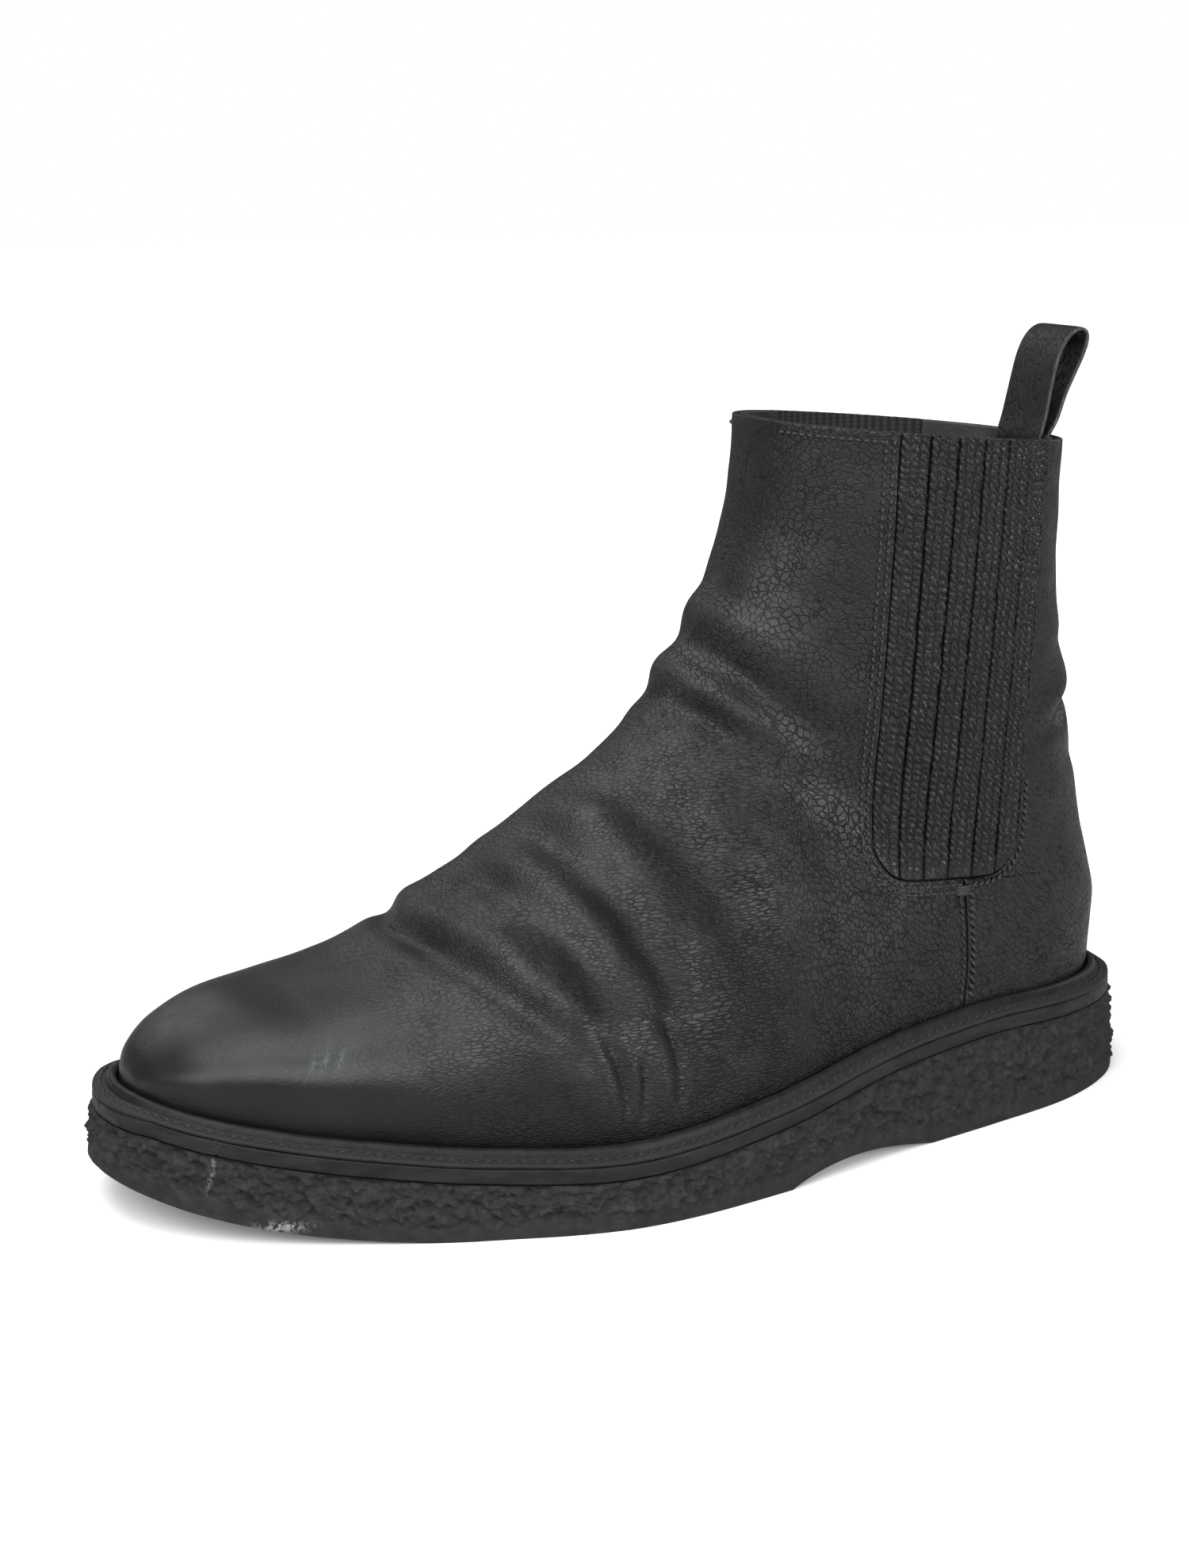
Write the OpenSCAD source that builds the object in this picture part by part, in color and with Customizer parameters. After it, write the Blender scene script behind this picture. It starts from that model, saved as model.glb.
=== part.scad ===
// Chelsea boot for the left foot, with elastic side gores and a crepe wedge sole.
// Frame in millimetres: ground at z = 0, +Z up, toe towards -Y, heel towards +Y,
// outer side of the foot towards +X, and x = 0 on the centre line of the heel.

/* [Sole] */
// Length of the sole at the welt, toe to heel
sole_length = 293; // [284:1:302]
// Width of the sole at the welt, across the ball of the foot
ball_width = 113; // [108:1:118]
// How far the welt stands out from the upper
welt_margin = 6.6; // [6:0.1:7.2]
// Thickness of the smooth midsole band
midsole_t = 3.9; // [3:0.1:4.5]
// Outward flare of the crepe from its top edge to the ground
crepe_flare = 1.8; // [0.5:0.1:2.5]
// Rise of the crepe's underside at the tip of the toe
toe_spring = 12; // [8:0.5:12]
// Rise of the crepe's underside under the arch of the foot
arch_rise = 3.8; // [1:0.1:5]
// Thickness of the stiff board that the foot stands on
insole_t = 2.2; // [1.8:0.1:2.4]
// Thickness of the loose sock liner
sock_t = 1.6; // [1.2:0.1:1.8]

/* [Upper] */
// Thickness of the outer leather
leather_t = 1.2; // [0.9:0.1:1.2]
// Thickness of the lining leather
lining_t = 0.6; // [0.5:0.1:0.8]
// Thickness of the toe puff, heel counter and elastic between leather and lining
stiffener_t = 0.6; // [0.4:0.1:0.6]
// Height of the top line at the back of the boot
shaft_back_z = 178.5; // [172:0.5:184]

/* [Gore] */
// Number of leather-covered pleats across each gore
pleats = 6; // [4:1:8]
// Gap between two pleats
pleat_gap = 0.5; // [0.3:0.1:0.8]
// How far the elastic reaches under the leather round the gore
gore_underlap = 4; // [2:0.5:4]

/* [Pull tab] */
// Width of the pull tab's strap
tab_w = 20; // [14:1:22]
// Thickness of the pull tab's strap
tab_t = 0.9; // [0.7:0.1:0.9]
// Height of the loop above the top line
tab_h = 28; // [22:1:34]

/* [Thread] */
// Width of a line of stitching
thread_w = 0.8; // [0.6:0.1:1]
// How far the thread stands out of the leather
thread_h = 0.5; // [0.3:0.1:0.7]

/* [Hidden] */

LEATHER = [0.07, 0.07, 0.08];
LINING = [0.16, 0.14, 0.12];
RUBBER = [0.10, 0.10, 0.11];
MIDSOLE = [0.09, 0.10, 0.12];
WELT = [0.16, 0.14, 0.13];
THREAD = [0.05, 0.05, 0.05];
BOARD = [0.55, 0.42, 0.28];
CORK = [0.62, 0.45, 0.28];
STEEL = [0.60, 0.62, 0.65];
ELASTIC = [0.04, 0.04, 0.05];
OUTER = 1;
INNER = -1;

// ---------------------------------------------------------------- shape of the last

// All cross-sections of the upper lie on rays that start at this point in front of the
// shin, so that they fan round the instep.
PIVOT_Y = -120;
PIVOT_Z = 200;

// Ends of the last, the ball of the foot, and the seat of the heel
TOE_Y = -143;
HEEL_Y = 136.8;
BALL_Y = -35;
SEAT_Y = 79;

// Height of the feather line at the ball, its rise to the toe tip and to the heel's seat,
// and its drop from there to the back
BALL_Z = 19;
TOE_RISE = 12.6;
SEAT_RISE = 12.6;
HEEL_DROP = 2.3;

// Shapes that change along the boot, as pairs of a place and a value. First the half
// widths of the foot on each side of the ridge line, before its ends round off.
FOOT_OUTER = [[-118, 39.5], [BALL_Y, 59.5], [88, 36.5]];
FOOT_INNER = [[-118, 36.5], [-70, 38.5], [35, 27.5], [52, 27.5], [126, 35]];
// Half widths that the shaft above asks for, and x of the ridge line
SHAFT_OUTER = [[-60, 0], [40, 34.5]];
SHAFT_INNER = [[-90, 0], [-20, 30.5], [60, 31], [HEEL_Y, 34]];
RIDGE_X = [[-120, -6.5], [80, 0]];
// Share of a section's height at which it is widest, and its roundness, where 2 is an
// ellipse
BELLY = [[TOE_Y, 0.45], [-70, 0.25], [BALL_Y, 0.2], [45, 0.25], [HEEL_Y, 0.42]];
ROUNDNESS = [[-98, 2.3], [45, 1.75], [HEEL_Y, 2]];

// Lengths over which the toe and the heel round off in plan, and the toe in height
TOE_ROUND = 55;
HEEL_ROUND = 74;
TOE_DOME = 40;

// The front line of the boot keeps nearly the same distance from the pivot. These are
// pairs of a ray's angle and that distance, from the toe cap up to the top line.
FRONT_LINE = [[-83, 149], [-54, 138.5], [-33, 145], [-15, 150], [-5, 148.5]];

// Back of the shaft, and how far and between which heights the heel stands out of it
SHAFT_BACK_Y = 117.5;
HEEL_BULGE = 20;
BULGE_LOW_Z = 48;
BULGE_TOP_Z = 142;
BULGE_POWER = 1.25;
// Up the back, how much wider than at the heel the shaft is on each side, and where its
// sections are widest and how round they are
SHAFT_GROWTH = [[BULGE_LOW_Z, 0], [BULGE_TOP_Z, 1.5]];
BACK_BELLY = [[30, 0.42], [86, 0.5]];
BACK_ROUNDNESS = [[BULGE_LOW_Z, 2], [BULGE_TOP_Z, 2.2]];

function mix(a, b, t) = a + (b - a) * t;
function unit(v) = v / norm(v);

// Value at v of a list of pairs, which are joined by soft steps
function eased(v, pairs, k = 0) =
    v <= pairs[k][0] || k + 1 == len(pairs) ? pairs[k][1]
    : v >= pairs[k + 1][0] ? eased(v, pairs, k + 1)
    : let(t = (v - pairs[k][0]) / (pairs[k + 1][0] - pairs[k][0]))
      mix(pairs[k][1], pairs[k + 1][1], t * t * (3 - 2 * t));

// Quarter of an ellipse: 0 at an end, and 1 from the given length on
function rounding(d, length) = d >= length ? 1 : sqrt(1 - pow(1 - max(d, 0) / length, 2));

// Softly the larger of the half width of the foot, which the upper's belly overhangs a
// little, and that of the shaft
OVERHANG = 1.02;
BLEND = 10;
function fuller(foot, shaft) = pow(pow(OVERHANG * foot, BLEND) + pow(shaft, BLEND), 1 / BLEND);

// Share of the way from a place to the pivot at which the front line lies
function front_share(y, z) =
    let(gap = [y - PIVOT_Y, z - PIVOT_Z]) 1 - eased(atan2(gap[1], gap[0]), FRONT_LINE) / norm(gap);

// Height of the feather line in the drawn size
SEAT_Z = BALL_Z + SEAT_RISE;
BACK_HEIGHTS = [[BALL_Y, BALL_Z], [SEAT_Y, SEAT_Z], [HEEL_Y, SEAT_Z - HEEL_DROP]];
function drawn_feather(y) =
    y < BALL_Y ? BALL_Z + TOE_RISE * pow((y - BALL_Y) / (TOE_Y - BALL_Y), 2)
    : eased(y, BACK_HEIGHTS);

// The sections run from the toe tip along the edge of the sole to the heel, then up the
// back to the top line. Their columns are:
//   y, z        where the section starts, on the sole's edge or up the back
//   out, in     x of the sole's edge on the outer and the inner side
//   ridge       x of the boot's ridge line
//   reach       share of the way from (y, z) to the pivot at which the ridge lies
//   wide_out, wide_in   greatest half widths, measured from the ridge line
//   belly       share of the section's height at which it is widest
//   power       roundness of the section
function sole_section(y) =
    let(z = drawn_feather(y), ridge = eased(y, RIDGE_X))
    let(ends = rounding(y - TOE_Y, TOE_ROUND) * rounding(HEEL_Y - y, HEEL_ROUND))
    let(outer = eased(y, FOOT_OUTER) * ends, inner = eased(y, FOOT_INNER) * ends)
    [y, z, ridge + outer, ridge - inner, ridge,
     front_share(y, z) * rounding(y - TOE_Y, TOE_DOME),
     fuller(outer, eased(y, SHAFT_OUTER)), fuller(inner, eased(y, SHAFT_INNER)),
     lookup(y, BELLY), lookup(y, ROUNDNESS)];
function back_section(z) =
    let(rise = max(BULGE_TOP_Z - z, 0) / (BULGE_TOP_Z - BULGE_LOW_Z))
    let(y = SHAFT_BACK_Y + HEEL_BULGE * pow(rise, BULGE_POWER), more = lookup(z, SHAFT_GROWTH))
    [y, z, 0, 0, 0, front_share(y, z),
     eased(HEEL_Y, SHAFT_OUTER) + more, eased(HEEL_Y, SHAFT_INNER) + more,
     lookup(z, BACK_BELLY), lookup(z, BACK_ROUNDNESS)];

// The sections lie close together where the toe and the heel turn. These are their
// distances from the toe tip and from the heel, and their heights up the back.
FROM_TOE = [0, 1, 4.5, 12.5, 26, 45, 73, 108, 148, 188];
FROM_HEEL = [58, 31.5, 13, 3, 0];
UP_BACK = [48, 65, 86, 110, 142, shaft_back_z];
SECTIONS = [
    for (d = FROM_TOE) sole_section(TOE_Y + d),
    for (d = FROM_HEEL) sole_section(HEEL_Y - d),
    for (z = UP_BACK) back_section(z)
];
HEEL_ROW = len(FROM_TOE) + len(FROM_HEEL) - 1;
TOP_ROW = HEEL_ROW + len(UP_BACK);

// Factors that fit the drawn sections to the chosen sole length and ball width
DRAWN_WIDTH = max([for (s = SECTIONS) s[2]]) - min([for (s = SECTIONS) s[3]]);
FIT_Y = (sole_length - 2 * welt_margin) / (HEEL_Y - TOE_Y);
FIT_X = (ball_width - 2 * welt_margin) / DRAWN_WIDTH;
FIT = [FIT_Y, 1, FIT_X, FIT_X, FIT_X, 1, FIT_X, FIT_X, 1, 1];
LAST = [for (s = SECTIONS) [for (k = [0 : len(s) - 1]) s[k] * FIT[k]]];
PIVOT = [PIVOT_Y * FIT_Y, PIVOT_Z];

// Rows of the sections between two row numbers, continued in a straight line past
// both ends
function last_row(i, first, last) =
    i < first ? 2 * LAST[first] - LAST[first + 1]
    : i > last ? 2 * LAST[last] - LAST[last - 1]
    : LAST[i];

// Smooth section at any row number. The row numbers run along a Catmull-Rom curve up to
// the heel, and along a second one from there up the back.
function section(v) =
    let(first = v < HEEL_ROW ? 0 : HEEL_ROW, last = v < HEEL_ROW ? HEEL_ROW : TOP_ROW)
    let(i = min(floor(v), last - 1), t = v - i)
    let(a = last_row(i - 1, first, last), b = last_row(i, first, last))
    let(c = last_row(i + 1, first, last), d = last_row(i + 2, first, last))
    0.5 * (2 * b + (c - a) * t + (2 * a - 5 * b + 4 * c - d) * t * t
        + (3 * b - a - 3 * c + d) * t * t * t);

function start_of(s) = [s[0], s[1]];
function ridge_of(s) = mix(start_of(s), PIVOT, s[5]);

// Look-up tables from a ray's angle, a height on the ridge, a place along the sole's edge
// and a height up the back to the row number, and from there to the shape
LOOK_STEP = 0.1;
RAY_ROWS = [
    for (v = [0 : LOOK_STEP : TOP_ROW + 0.01])
        let(p = start_of(section(min(v, TOP_ROW))) - PIVOT) [atan2(p[1], p[0]), v]
];
RIDGE_ROWS = [
    for (v = [0 : LOOK_STEP : TOP_ROW + 0.01]) [ridge_of(section(min(v, TOP_ROW)))[1], v]
];
EDGE_ROWS = [
    for (v = [0 : LOOK_STEP : HEEL_ROW + 0.01]) [section(v)[0], min(v, HEEL_ROW)]
];
BACK_ROWS = [
    for (v = [HEEL_ROW : LOOK_STEP : TOP_ROW + 0.01]) [section(min(v, TOP_ROW))[1], v]
];
FEATHER_HEIGHTS = [for (e = EDGE_ROWS) [e[0], section(e[1])[1]]];

// Height of the feather line, where the upper meets the sole, at a given y
function feather_z(y) = lookup(y, FEATHER_HEIGHTS);

// Half width of a section on one side, at share t of its height
function half_width(s, t, side) =
    let(foot = max(side > 0 ? s[2] - s[4] : s[4] - s[3], 0))
    let(wide = max(side > 0 ? s[6] : s[7], foot + 0.001))
    let(belly = s[8], n = s[9], pinch = 1 - pow(foot / wide, n))
    t >= 1 ? 0
    : t >= belly ? wide * pow(1 - pow((t - belly) / (1 - belly), n), 1 / n)
    : wide * pow(1 - pinch * pow((belly - max(t, 0)) / belly, n), 1 / n);

// Point of the boot's outer surface at (y, z). Below the feather line the upper drops
// straight down inside the welt.
function skin(y, z, side) =
    z <= feather_z(y)
        ? let(s = section(lookup(y, EDGE_ROWS))) [side > 0 ? s[2] : s[3], y, z]
        : let(gap = [y, z] - PIVOT)
          let(s = section(lookup(atan2(gap[1], gap[0]), RAY_ROWS)))
          let(far = norm(start_of(s) - PIVOT))
          let(t = (1 - norm(gap) / far) / max(s[5], 0.001))
          [s[4] + side * half_width(s, t, side), y, z];

// Points of the two silhouette lines at a given height
function ridge_point(z) =
    let(s = section(lookup(z, RIDGE_ROWS)), p = ridge_of(s)) [s[4], p[0], p[1]];
function back_point(z) =
    let(s = section(lookup(z, BACK_ROWS))) [s[4], s[0], z < s[1] ? z : s[1]];

// Height of the straight top line at a given y
TOP_BACK = start_of(LAST[TOP_ROW]);
TOP_FRONT = ridge_of(LAST[TOP_ROW]);
function topline_z(y) =
    mix(TOP_FRONT[1], TOP_BACK[1], (y - TOP_FRONT[0]) / (TOP_BACK[0] - TOP_FRONT[0]));

// ---------------------------------------------------------------- seams in the side view

// The gore lies between two nearly upright edges and a round-cornered bottom.
// Its places are given as f = 0 at the front edge to 1 at the back edge.
GORE_FRONT_LOW = 47 * FIT_Y;
GORE_FRONT_TOP = 52.3 * FIT_Y;
GORE_BACK_LOW = 92 * FIT_Y;
GORE_BACK_TOP = 100 * FIT_Y;
GORE_LOW_Z = 66.5;
GORE_CORNER = 9;
GORE_SLOPE = 1.6;
SEAM_Y = 74.5 * FIT_Y;
SEAM_F = (SEAM_Y - GORE_FRONT_LOW) / (GORE_BACK_LOW - GORE_FRONT_LOW);

function gore_bottom(f) =
    GORE_LOW_Z + GORE_SLOPE * (1 - 2 * f) + GORE_CORNER * pow(abs(2 * f - 1), 6);
function gore_y(f, a) =
    mix(mix(GORE_FRONT_LOW, GORE_BACK_LOW, f), mix(GORE_FRONT_TOP, GORE_BACK_TOP, f), a);
function gore_place(f, a) =
    let(top = topline_z(gore_y(f, 1))) [gore_y(f, a), mix(gore_bottom(f), top, a)];

// The side seam bows slightly backwards between the gore and the sole
SEAM_BOW = 1.6;
function seam_place(a) =
    let(low = [SEAM_Y, feather_z(SEAM_Y)], high = gore_place(SEAM_F, 0))
    mix(low, high, a) + [SEAM_BOW * sin(180 * a), 0];

// ---------------------------------------------------------------- grids on the surface

// How far the leather, and the lining, reach down inside the welt
SKIRT = 2.2;
MID_GAP = 0.5;
MID_IN = leather_t + MID_GAP;
MID_OUT = MID_IN + stiffener_t;
LINING_IN = MID_OUT + MID_GAP;
LINING_OUT = LINING_IN + lining_t;

// Edge of the vamp from the toe tip to the top of the gore, as pairs of a place on the
// edge and the height on the ridge that its row of points runs to
SEAM_ROW = lookup(SEAM_Y, EDGE_ROWS);
RIDGE_FOR_EDGE = [[0, 0], [3, 3], [5, 4.2], [8, 5.3], [SEAM_ROW, 6.1]];
RIDGE_AT_SEAM = 6.1;
RIDGE_AT_GORE = 7;
RIDGE_AT_CORNER = 7.5;
TOE_ROWS = [0, 0.35, 0.7, 1, 1.5, 2, 2.5, 3, 3.5, 4, 4.5, 5, 5.5, 6, 6.5, 7, 7.5, 8, 8.5, 9, 9.5];
PUFF_ROWS = 9;
SEAM_STEPS = 4;
CORNER_STEPS = 7;
FRONT_STEPS = 11;
HALF_COLUMNS = 10;
EDGE_COLUMN = 0.03;

function ridge_z(v) = ridge_of(section(v))[1];
function vamp_foot_row(v, drop) =
    let(s = section(v)) [[s[0], s[1] - drop], ridge_z(lookup(v, RIDGE_FOR_EDGE))];
CORNER_Z = ridge_z(RIDGE_AT_CORNER);
function vamp_rows(drop) = concat(
    [for (v = TOE_ROWS) vamp_foot_row(v, drop)],
    [vamp_foot_row(SEAM_ROW, drop)],
    [for (k = [1 : SEAM_STEPS]) let(a = k / SEAM_STEPS)
        [seam_place(a), ridge_z(mix(RIDGE_AT_SEAM, RIDGE_AT_GORE, a))]],
    [for (k = [1 : CORNER_STEPS]) let(a = k / CORNER_STEPS)
        [gore_place(SEAM_F * pow(1 - a, 2), 0),
            ridge_z(mix(RIDGE_AT_GORE, RIDGE_AT_CORNER, a))]],
    [for (k = [1 : FRONT_STEPS]) let(a = k / FRONT_STEPS)
        [gore_place(0, a), mix(CORNER_Z, TOP_FRONT[1], a)]]
);

// A row of points from an edge place, over the ridge, to the same place on the other side
function over_ridge(place, z) =
    let(r = ridge_point(z), n = HALF_COLUMNS)
    [for (j = [0 : 2 * n])
        let(side = j <= n ? OUTER : INNER, k = n - abs(j - n))
        let(b = k == 1 ? EDGE_COLUMN : sin(90 * max(k - 1, 0) / (n - 1)))
        let(y = mix(place[0], r[1], b), h = mix(place[1], r[2], b))
        j == n ? r : skin(y, h, side)];
function vamp_grid(drop) = [for (r = vamp_rows(drop)) over_ridge(r[0], r[1])];

// Edge of the back quarter from the welt to the top line, with the height up the back
// that each row runs to
SEAM_GAP = 0.4;
QUARTER_CORNER_STEPS = 6;
QUARTER_GORE_STEPS = 10;
QUARTER_COLUMNS = 8;
BACK_FOOT_Z = LAST[HEEL_ROW][1];
BACK_SEAM_Z = 62;
BACK_CORNER_Z = 84;
function quarter_rows(drop) = concat(
    [[[SEAM_Y + SEAM_GAP, feather_z(SEAM_Y) - drop], BACK_FOOT_Z - drop]],
    [for (k = [0 : SEAM_STEPS]) let(a = k / SEAM_STEPS)
        [seam_place(a) + [SEAM_GAP, 0], mix(BACK_FOOT_Z + 0.01, BACK_SEAM_Z, a)]],
    [for (k = [1 : QUARTER_CORNER_STEPS]) let(a = k / QUARTER_CORNER_STEPS)
        [gore_place(mix(1, SEAM_F, pow(1 - a, 2)), 0),
            mix(BACK_SEAM_Z, BACK_CORNER_Z, a * a)]],
    [for (k = [1 : QUARTER_GORE_STEPS]) let(a = k / QUARTER_GORE_STEPS)
        [gore_place(1, a), mix(BACK_CORNER_Z, TOP_BACK[1], a)]]
);

// A row of points from an edge place on the inner side, round the back, to the outer side
function round_back(place, z) =
    let(p = back_point(z), n = QUARTER_COLUMNS)
    [for (j = [0 : 2 * n])
        let(side = j <= n ? INNER : OUTER, b = sin(90 * (1 - abs(j - n) / n)))
        let(y = mix(place[0], p[1], b), low = mix(place[1], p[2], b))
        let(below = z < BACK_FOOT_Z)
        let(h = below ? feather_z(y) - (BACK_FOOT_Z - z) : max(low, feather_z(y)))
        j == n ? p : skin(y, h, side)];
function quarter_grid(drop) = [for (r = quarter_rows(drop)) round_back(r[0], r[1])];

// A patch of one side, from rows of (y, z) places. Its columns run from back to front on
// the outer side and from front to back on the inner side.
function patch(rows, side) = [
    for (r = rows) let(n = len(r) - 1) [for (j = [0 : n])
        let(p = side > 0 ? r[n - j] : r[j]) skin(p[0], p[1], side)]
];

// Outward direction on the side walls, from the slope of the surface itself
SIDE_WALL_X = 22;
SIDE_WALL_Y = -60;
SLOPE_STEP = 0.6;
function wall_normal(p) =
    let(side = p[0] > 0 ? OUTER : INNER, e = SLOPE_STEP)
    let(dy = skin(p[1] + e, p[2], side)[0] - skin(p[1] - e, p[2], side)[0])
    let(dz = skin(p[1], p[2] + e, side)[0] - skin(p[1], p[2] - e, side)[0])
    side * unit([2 * e, -dy, -dz]);

// Outward direction at one point of a grid. A closed grid starts with a row that is
// folded in two at the toe tip.
function grid_normal(g, i, j, closed) =
    abs(g[i][j][0]) > SIDE_WALL_X && g[i][j][1] > SIDE_WALL_Y ? wall_normal(g[i][j]) :
    let(rows = len(g) - 1, cols = len(g[0]) - 1, half = cols / 2)
    let(tip = closed && i == 0)
    let(along = tip ? g[1][min(j, half - 1)] - g[1][cols - min(j, half - 1)]
        : g[min(i + 1, rows)][j] - g[max(i - 1, 0)][j])
    let(across = tip ? g[0][min(j + 1, half)] - g[0][max(j - 1, 0)]
        : g[i][min(j + 1, cols)] - g[i][max(j - 1, 0)])
    unit(cross(along, across));

// The grid moved inwards by a depth, where a negative depth moves it outwards
function sunk(g, depth, closed = false) = [
    for (i = [0 : len(g) - 1]) [for (j = [0 : len(g[0]) - 1])
        g[i][j] - depth * grid_normal(g, i, closed && i == 0 ? min(j, len(g[0]) - 1 - j) : j,
            closed)]
];

// Part of a grid
function part_of(g, i0, i1, j0, j1) = [for (i = [i0 : i1]) [for (j = [j0 : j1]) g[i][j]]];

// ---------------------------------------------------------------- solids

// Solid between an outer and an inner grid of the same size
module shell(a, b, closed = false) {
    rows = len(a) - 1;
    cols = len(a[0]) - 1;
    size = (rows + 1) * (cols + 1);
    function at(i, j) = closed && i == 0 && j > cols / 2 ? cols - j : i * (cols + 1) + j;
    function quad(p, q, r, s) = [[p, q, r], [p, r, s]];
    outer = [for (i = [0 : rows - 1], j = [0 : cols - 1])
        each quad(at(i, j), at(i, j + 1), at(i + 1, j + 1), at(i + 1, j))];
    inner = [for (i = [0 : rows - 1], j = [0 : cols - 1])
        each quad(size + at(i, j), size + at(i + 1, j), size + at(i + 1, j + 1),
            size + at(i, j + 1))];
    sides = [for (i = [0 : rows - 1], j = [0, cols])
        let(p = at(i, j), q = at(i + 1, j))
        each (j == 0 ? quad(p, q, size + q, size + p) : quad(q, p, size + p, size + q))];
    ends = [for (i = closed ? [rows] : [0, rows], j = [0 : cols - 1])
        let(p = at(i, j), q = at(i, j + 1))
        each (i == 0 ? quad(q, p, size + p, size + q) : quad(p, q, size + q, size + p))];
    points = concat([for (row = a) each row], [for (row = b) each row]);
    faces = [for (f = concat(outer, inner, sides, ends))
        if (f[0] != f[1] && f[1] != f[2] && f[0] != f[2]) f];
    polyhedron(points = points, faces = faces, convexity = 8);
}

// Solid between two depths below a grid
module layer(g, from, to, closed = false) {
    shell(sunk(g, from, closed), sunk(g, to, closed), closed);
}

// Closed outline of the sole at a distance outside the feather line, seen from above and
// running up the outer side from the toe and back down the inner side
OUTLINE_STEPS = 4;
OUTLINE_ROWS = [for (k = [0 : HEEL_ROW * OUTLINE_STEPS]) section(k / OUTLINE_STEPS)];
function outline(margin) =
    let(n = len(OUTLINE_ROWS) - 1)
    let(up = [for (k = [0 : n]) [OUTLINE_ROWS[k][2], OUTLINE_ROWS[k][0]]])
    let(down = [for (k = [n - 1 : -1 : 1]) [OUTLINE_ROWS[k][3], OUTLINE_ROWS[k][0]]])
    let(loop = concat(up, down), m = len(loop))
    [for (k = [0 : m - 1])
        let(d = unit(loop[(k + 1) % m] - loop[(k + m - 1) % m])) loop[k] + margin * [d[1], -d[0]]];

// Solid that stacks closed loops of equal length, from bottom to top. Its first and last
// loops are filled with strips that run across the foot. A whole loop starts at the toe
// tip, and a part of one starts with a cut across the foot.
module stack(loops, whole = true) {
    m = len(loops[0]);
    top = len(loops) - 1;
    // Index of the point across the foot from point k on the way up the outer side
    function mate(k) = whole ? (m - k) % m : m - 1 - k;
    half = floor(m / 2);
    function cap(base, flip) = [for (k = [0 : half - 1])
        let(p = k, q = k + 1, r = mate(k + 1), s = mate(k))
        each (flip ? [[base + p, base + q, base + r], [base + p, base + r, base + s]]
            : [[base + r, base + q, base + p], [base + s, base + r, base + p]])];
    walls = [for (i = [0 : top - 1], k = [0 : m - 1])
        let(n = (k + 1) % m, p = i * m + k, q = i * m + n)
        each [[p, p + m, q + m], [p, q + m, q]]];
    faces = [for (f = concat(cap(0, true), cap(top * m, false), walls))
        if (f[0] != f[1] && f[1] != f[2] && f[0] != f[2]) f];
    polyhedron(points = [for (loop = loops) each loop], faces = faces, convexity = 6);
}

// Loop of the sole's outline at a depth below the feather line, and the part of a loop
// between two rows of the sections
function level(margin, depth) =
    [for (p = outline(margin)) [p[0], p[1], feather_z(p[1]) - depth]];
function part_level(margin, depth, from, to) =
    let(loop = level(margin, depth), m = len(loop))
    let(a = from * OUTLINE_STEPS, b = to * OUTLINE_STEPS)
    concat([for (k = [a : b]) loop[k]], [for (k = [to == HEEL_ROW ? b - 1 : b : -1 : a]) loop[m - k]]);

// Solid ring swept round the sole's outline. Its profile is a list of pairs of a margin
// and a height from the feather line, clockwise when seen towards the toe.
module ring(profile) {
    m = len(profile);
    loops = [for (p = profile) level(p[0], -p[1])];
    n = len(loops[0]);
    faces = [for (k = [0 : n - 1], i = [0 : m - 1])
        let(j = (i + 1) % m, l = (k + 1) % n)
        let(p = i * n + k, q = j * n + k, r = j * n + l, s = i * n + l)
        each [[p, q, r], [p, r, s]]];
    polyhedron(points = [for (loop = loops) each loop], faces = faces, convexity = 8);
}

// ---------------------------------------------------------------- sole

// Depths below the feather line
WELT_T = 2.75;
WELT_JOINT = 0.3;
LEVEL_GAP = 0.1;
MIDSOLE_TOP = WELT_T + WELT_JOINT;
MIDSOLE_LOW = MIDSOLE_TOP + midsole_t;
CREPE_TOP = MIDSOLE_LOW + LEVEL_GAP;
BOARD_LOW = 1;
INSIDE = -(LINING_OUT + 1);

// The crepe's underside curves up under the toe, from one place to the tip, and arches
// between two more ahead of the heel
SPRING_FROM = -76;
SPRING_TO = -150;
ARCH_FROM = 8.5;
ARCH_TO = 58;
ARCH_LEAN = 0.8;
function crepe_z(y) =
    let(spring = (y / FIT_Y - SPRING_FROM) / (SPRING_TO - SPRING_FROM))
    let(arch = (y / FIT_Y - ARCH_FROM) / (ARCH_TO - ARCH_FROM))
    spring > 0 ? toe_spring * spring * spring
    : arch > 0 && arch < 1 ? arch_rise * sin(180 * pow(arch, ARCH_LEAN))
    : 0;

module outsole() {
    low = outline(welt_margin + crepe_flare);
    edge = outline(welt_margin + 0.8 * crepe_flare);
    color(RUBBER) stack([
        [for (p = low) [p[0], p[1], crepe_z(p[1])]],
        [for (p = edge) [p[0], p[1], crepe_z(p[1]) + 3]],
        level(welt_margin, CREPE_TOP)
    ]);
}

module midsole() {
    color(MIDSOLE) stack([
        level(welt_margin - 0.4, MIDSOLE_LOW),
        level(welt_margin, MIDSOLE_LOW - 0.5),
        level(welt_margin, MIDSOLE_TOP + 0.3),
        level(welt_margin - 0.3, MIDSOLE_TOP)
    ]);
}

// Storm welt: a raised bead against the upper and a flat ledge for the stitches
WELT_GAP = 0.75;
WELT_PROFILE = [
    [WELT_GAP, -WELT_T], [WELT_GAP, 0], [1.35, 0.3], [2.3, 0], [3.2, -0.9], [4.4, -1.5],
    [welt_margin - 0.4, -1.9], [welt_margin, -2.3], [welt_margin, -WELT_T]
];
module welt() {
    color(WELT) ring(WELT_PROFILE);
}

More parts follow.
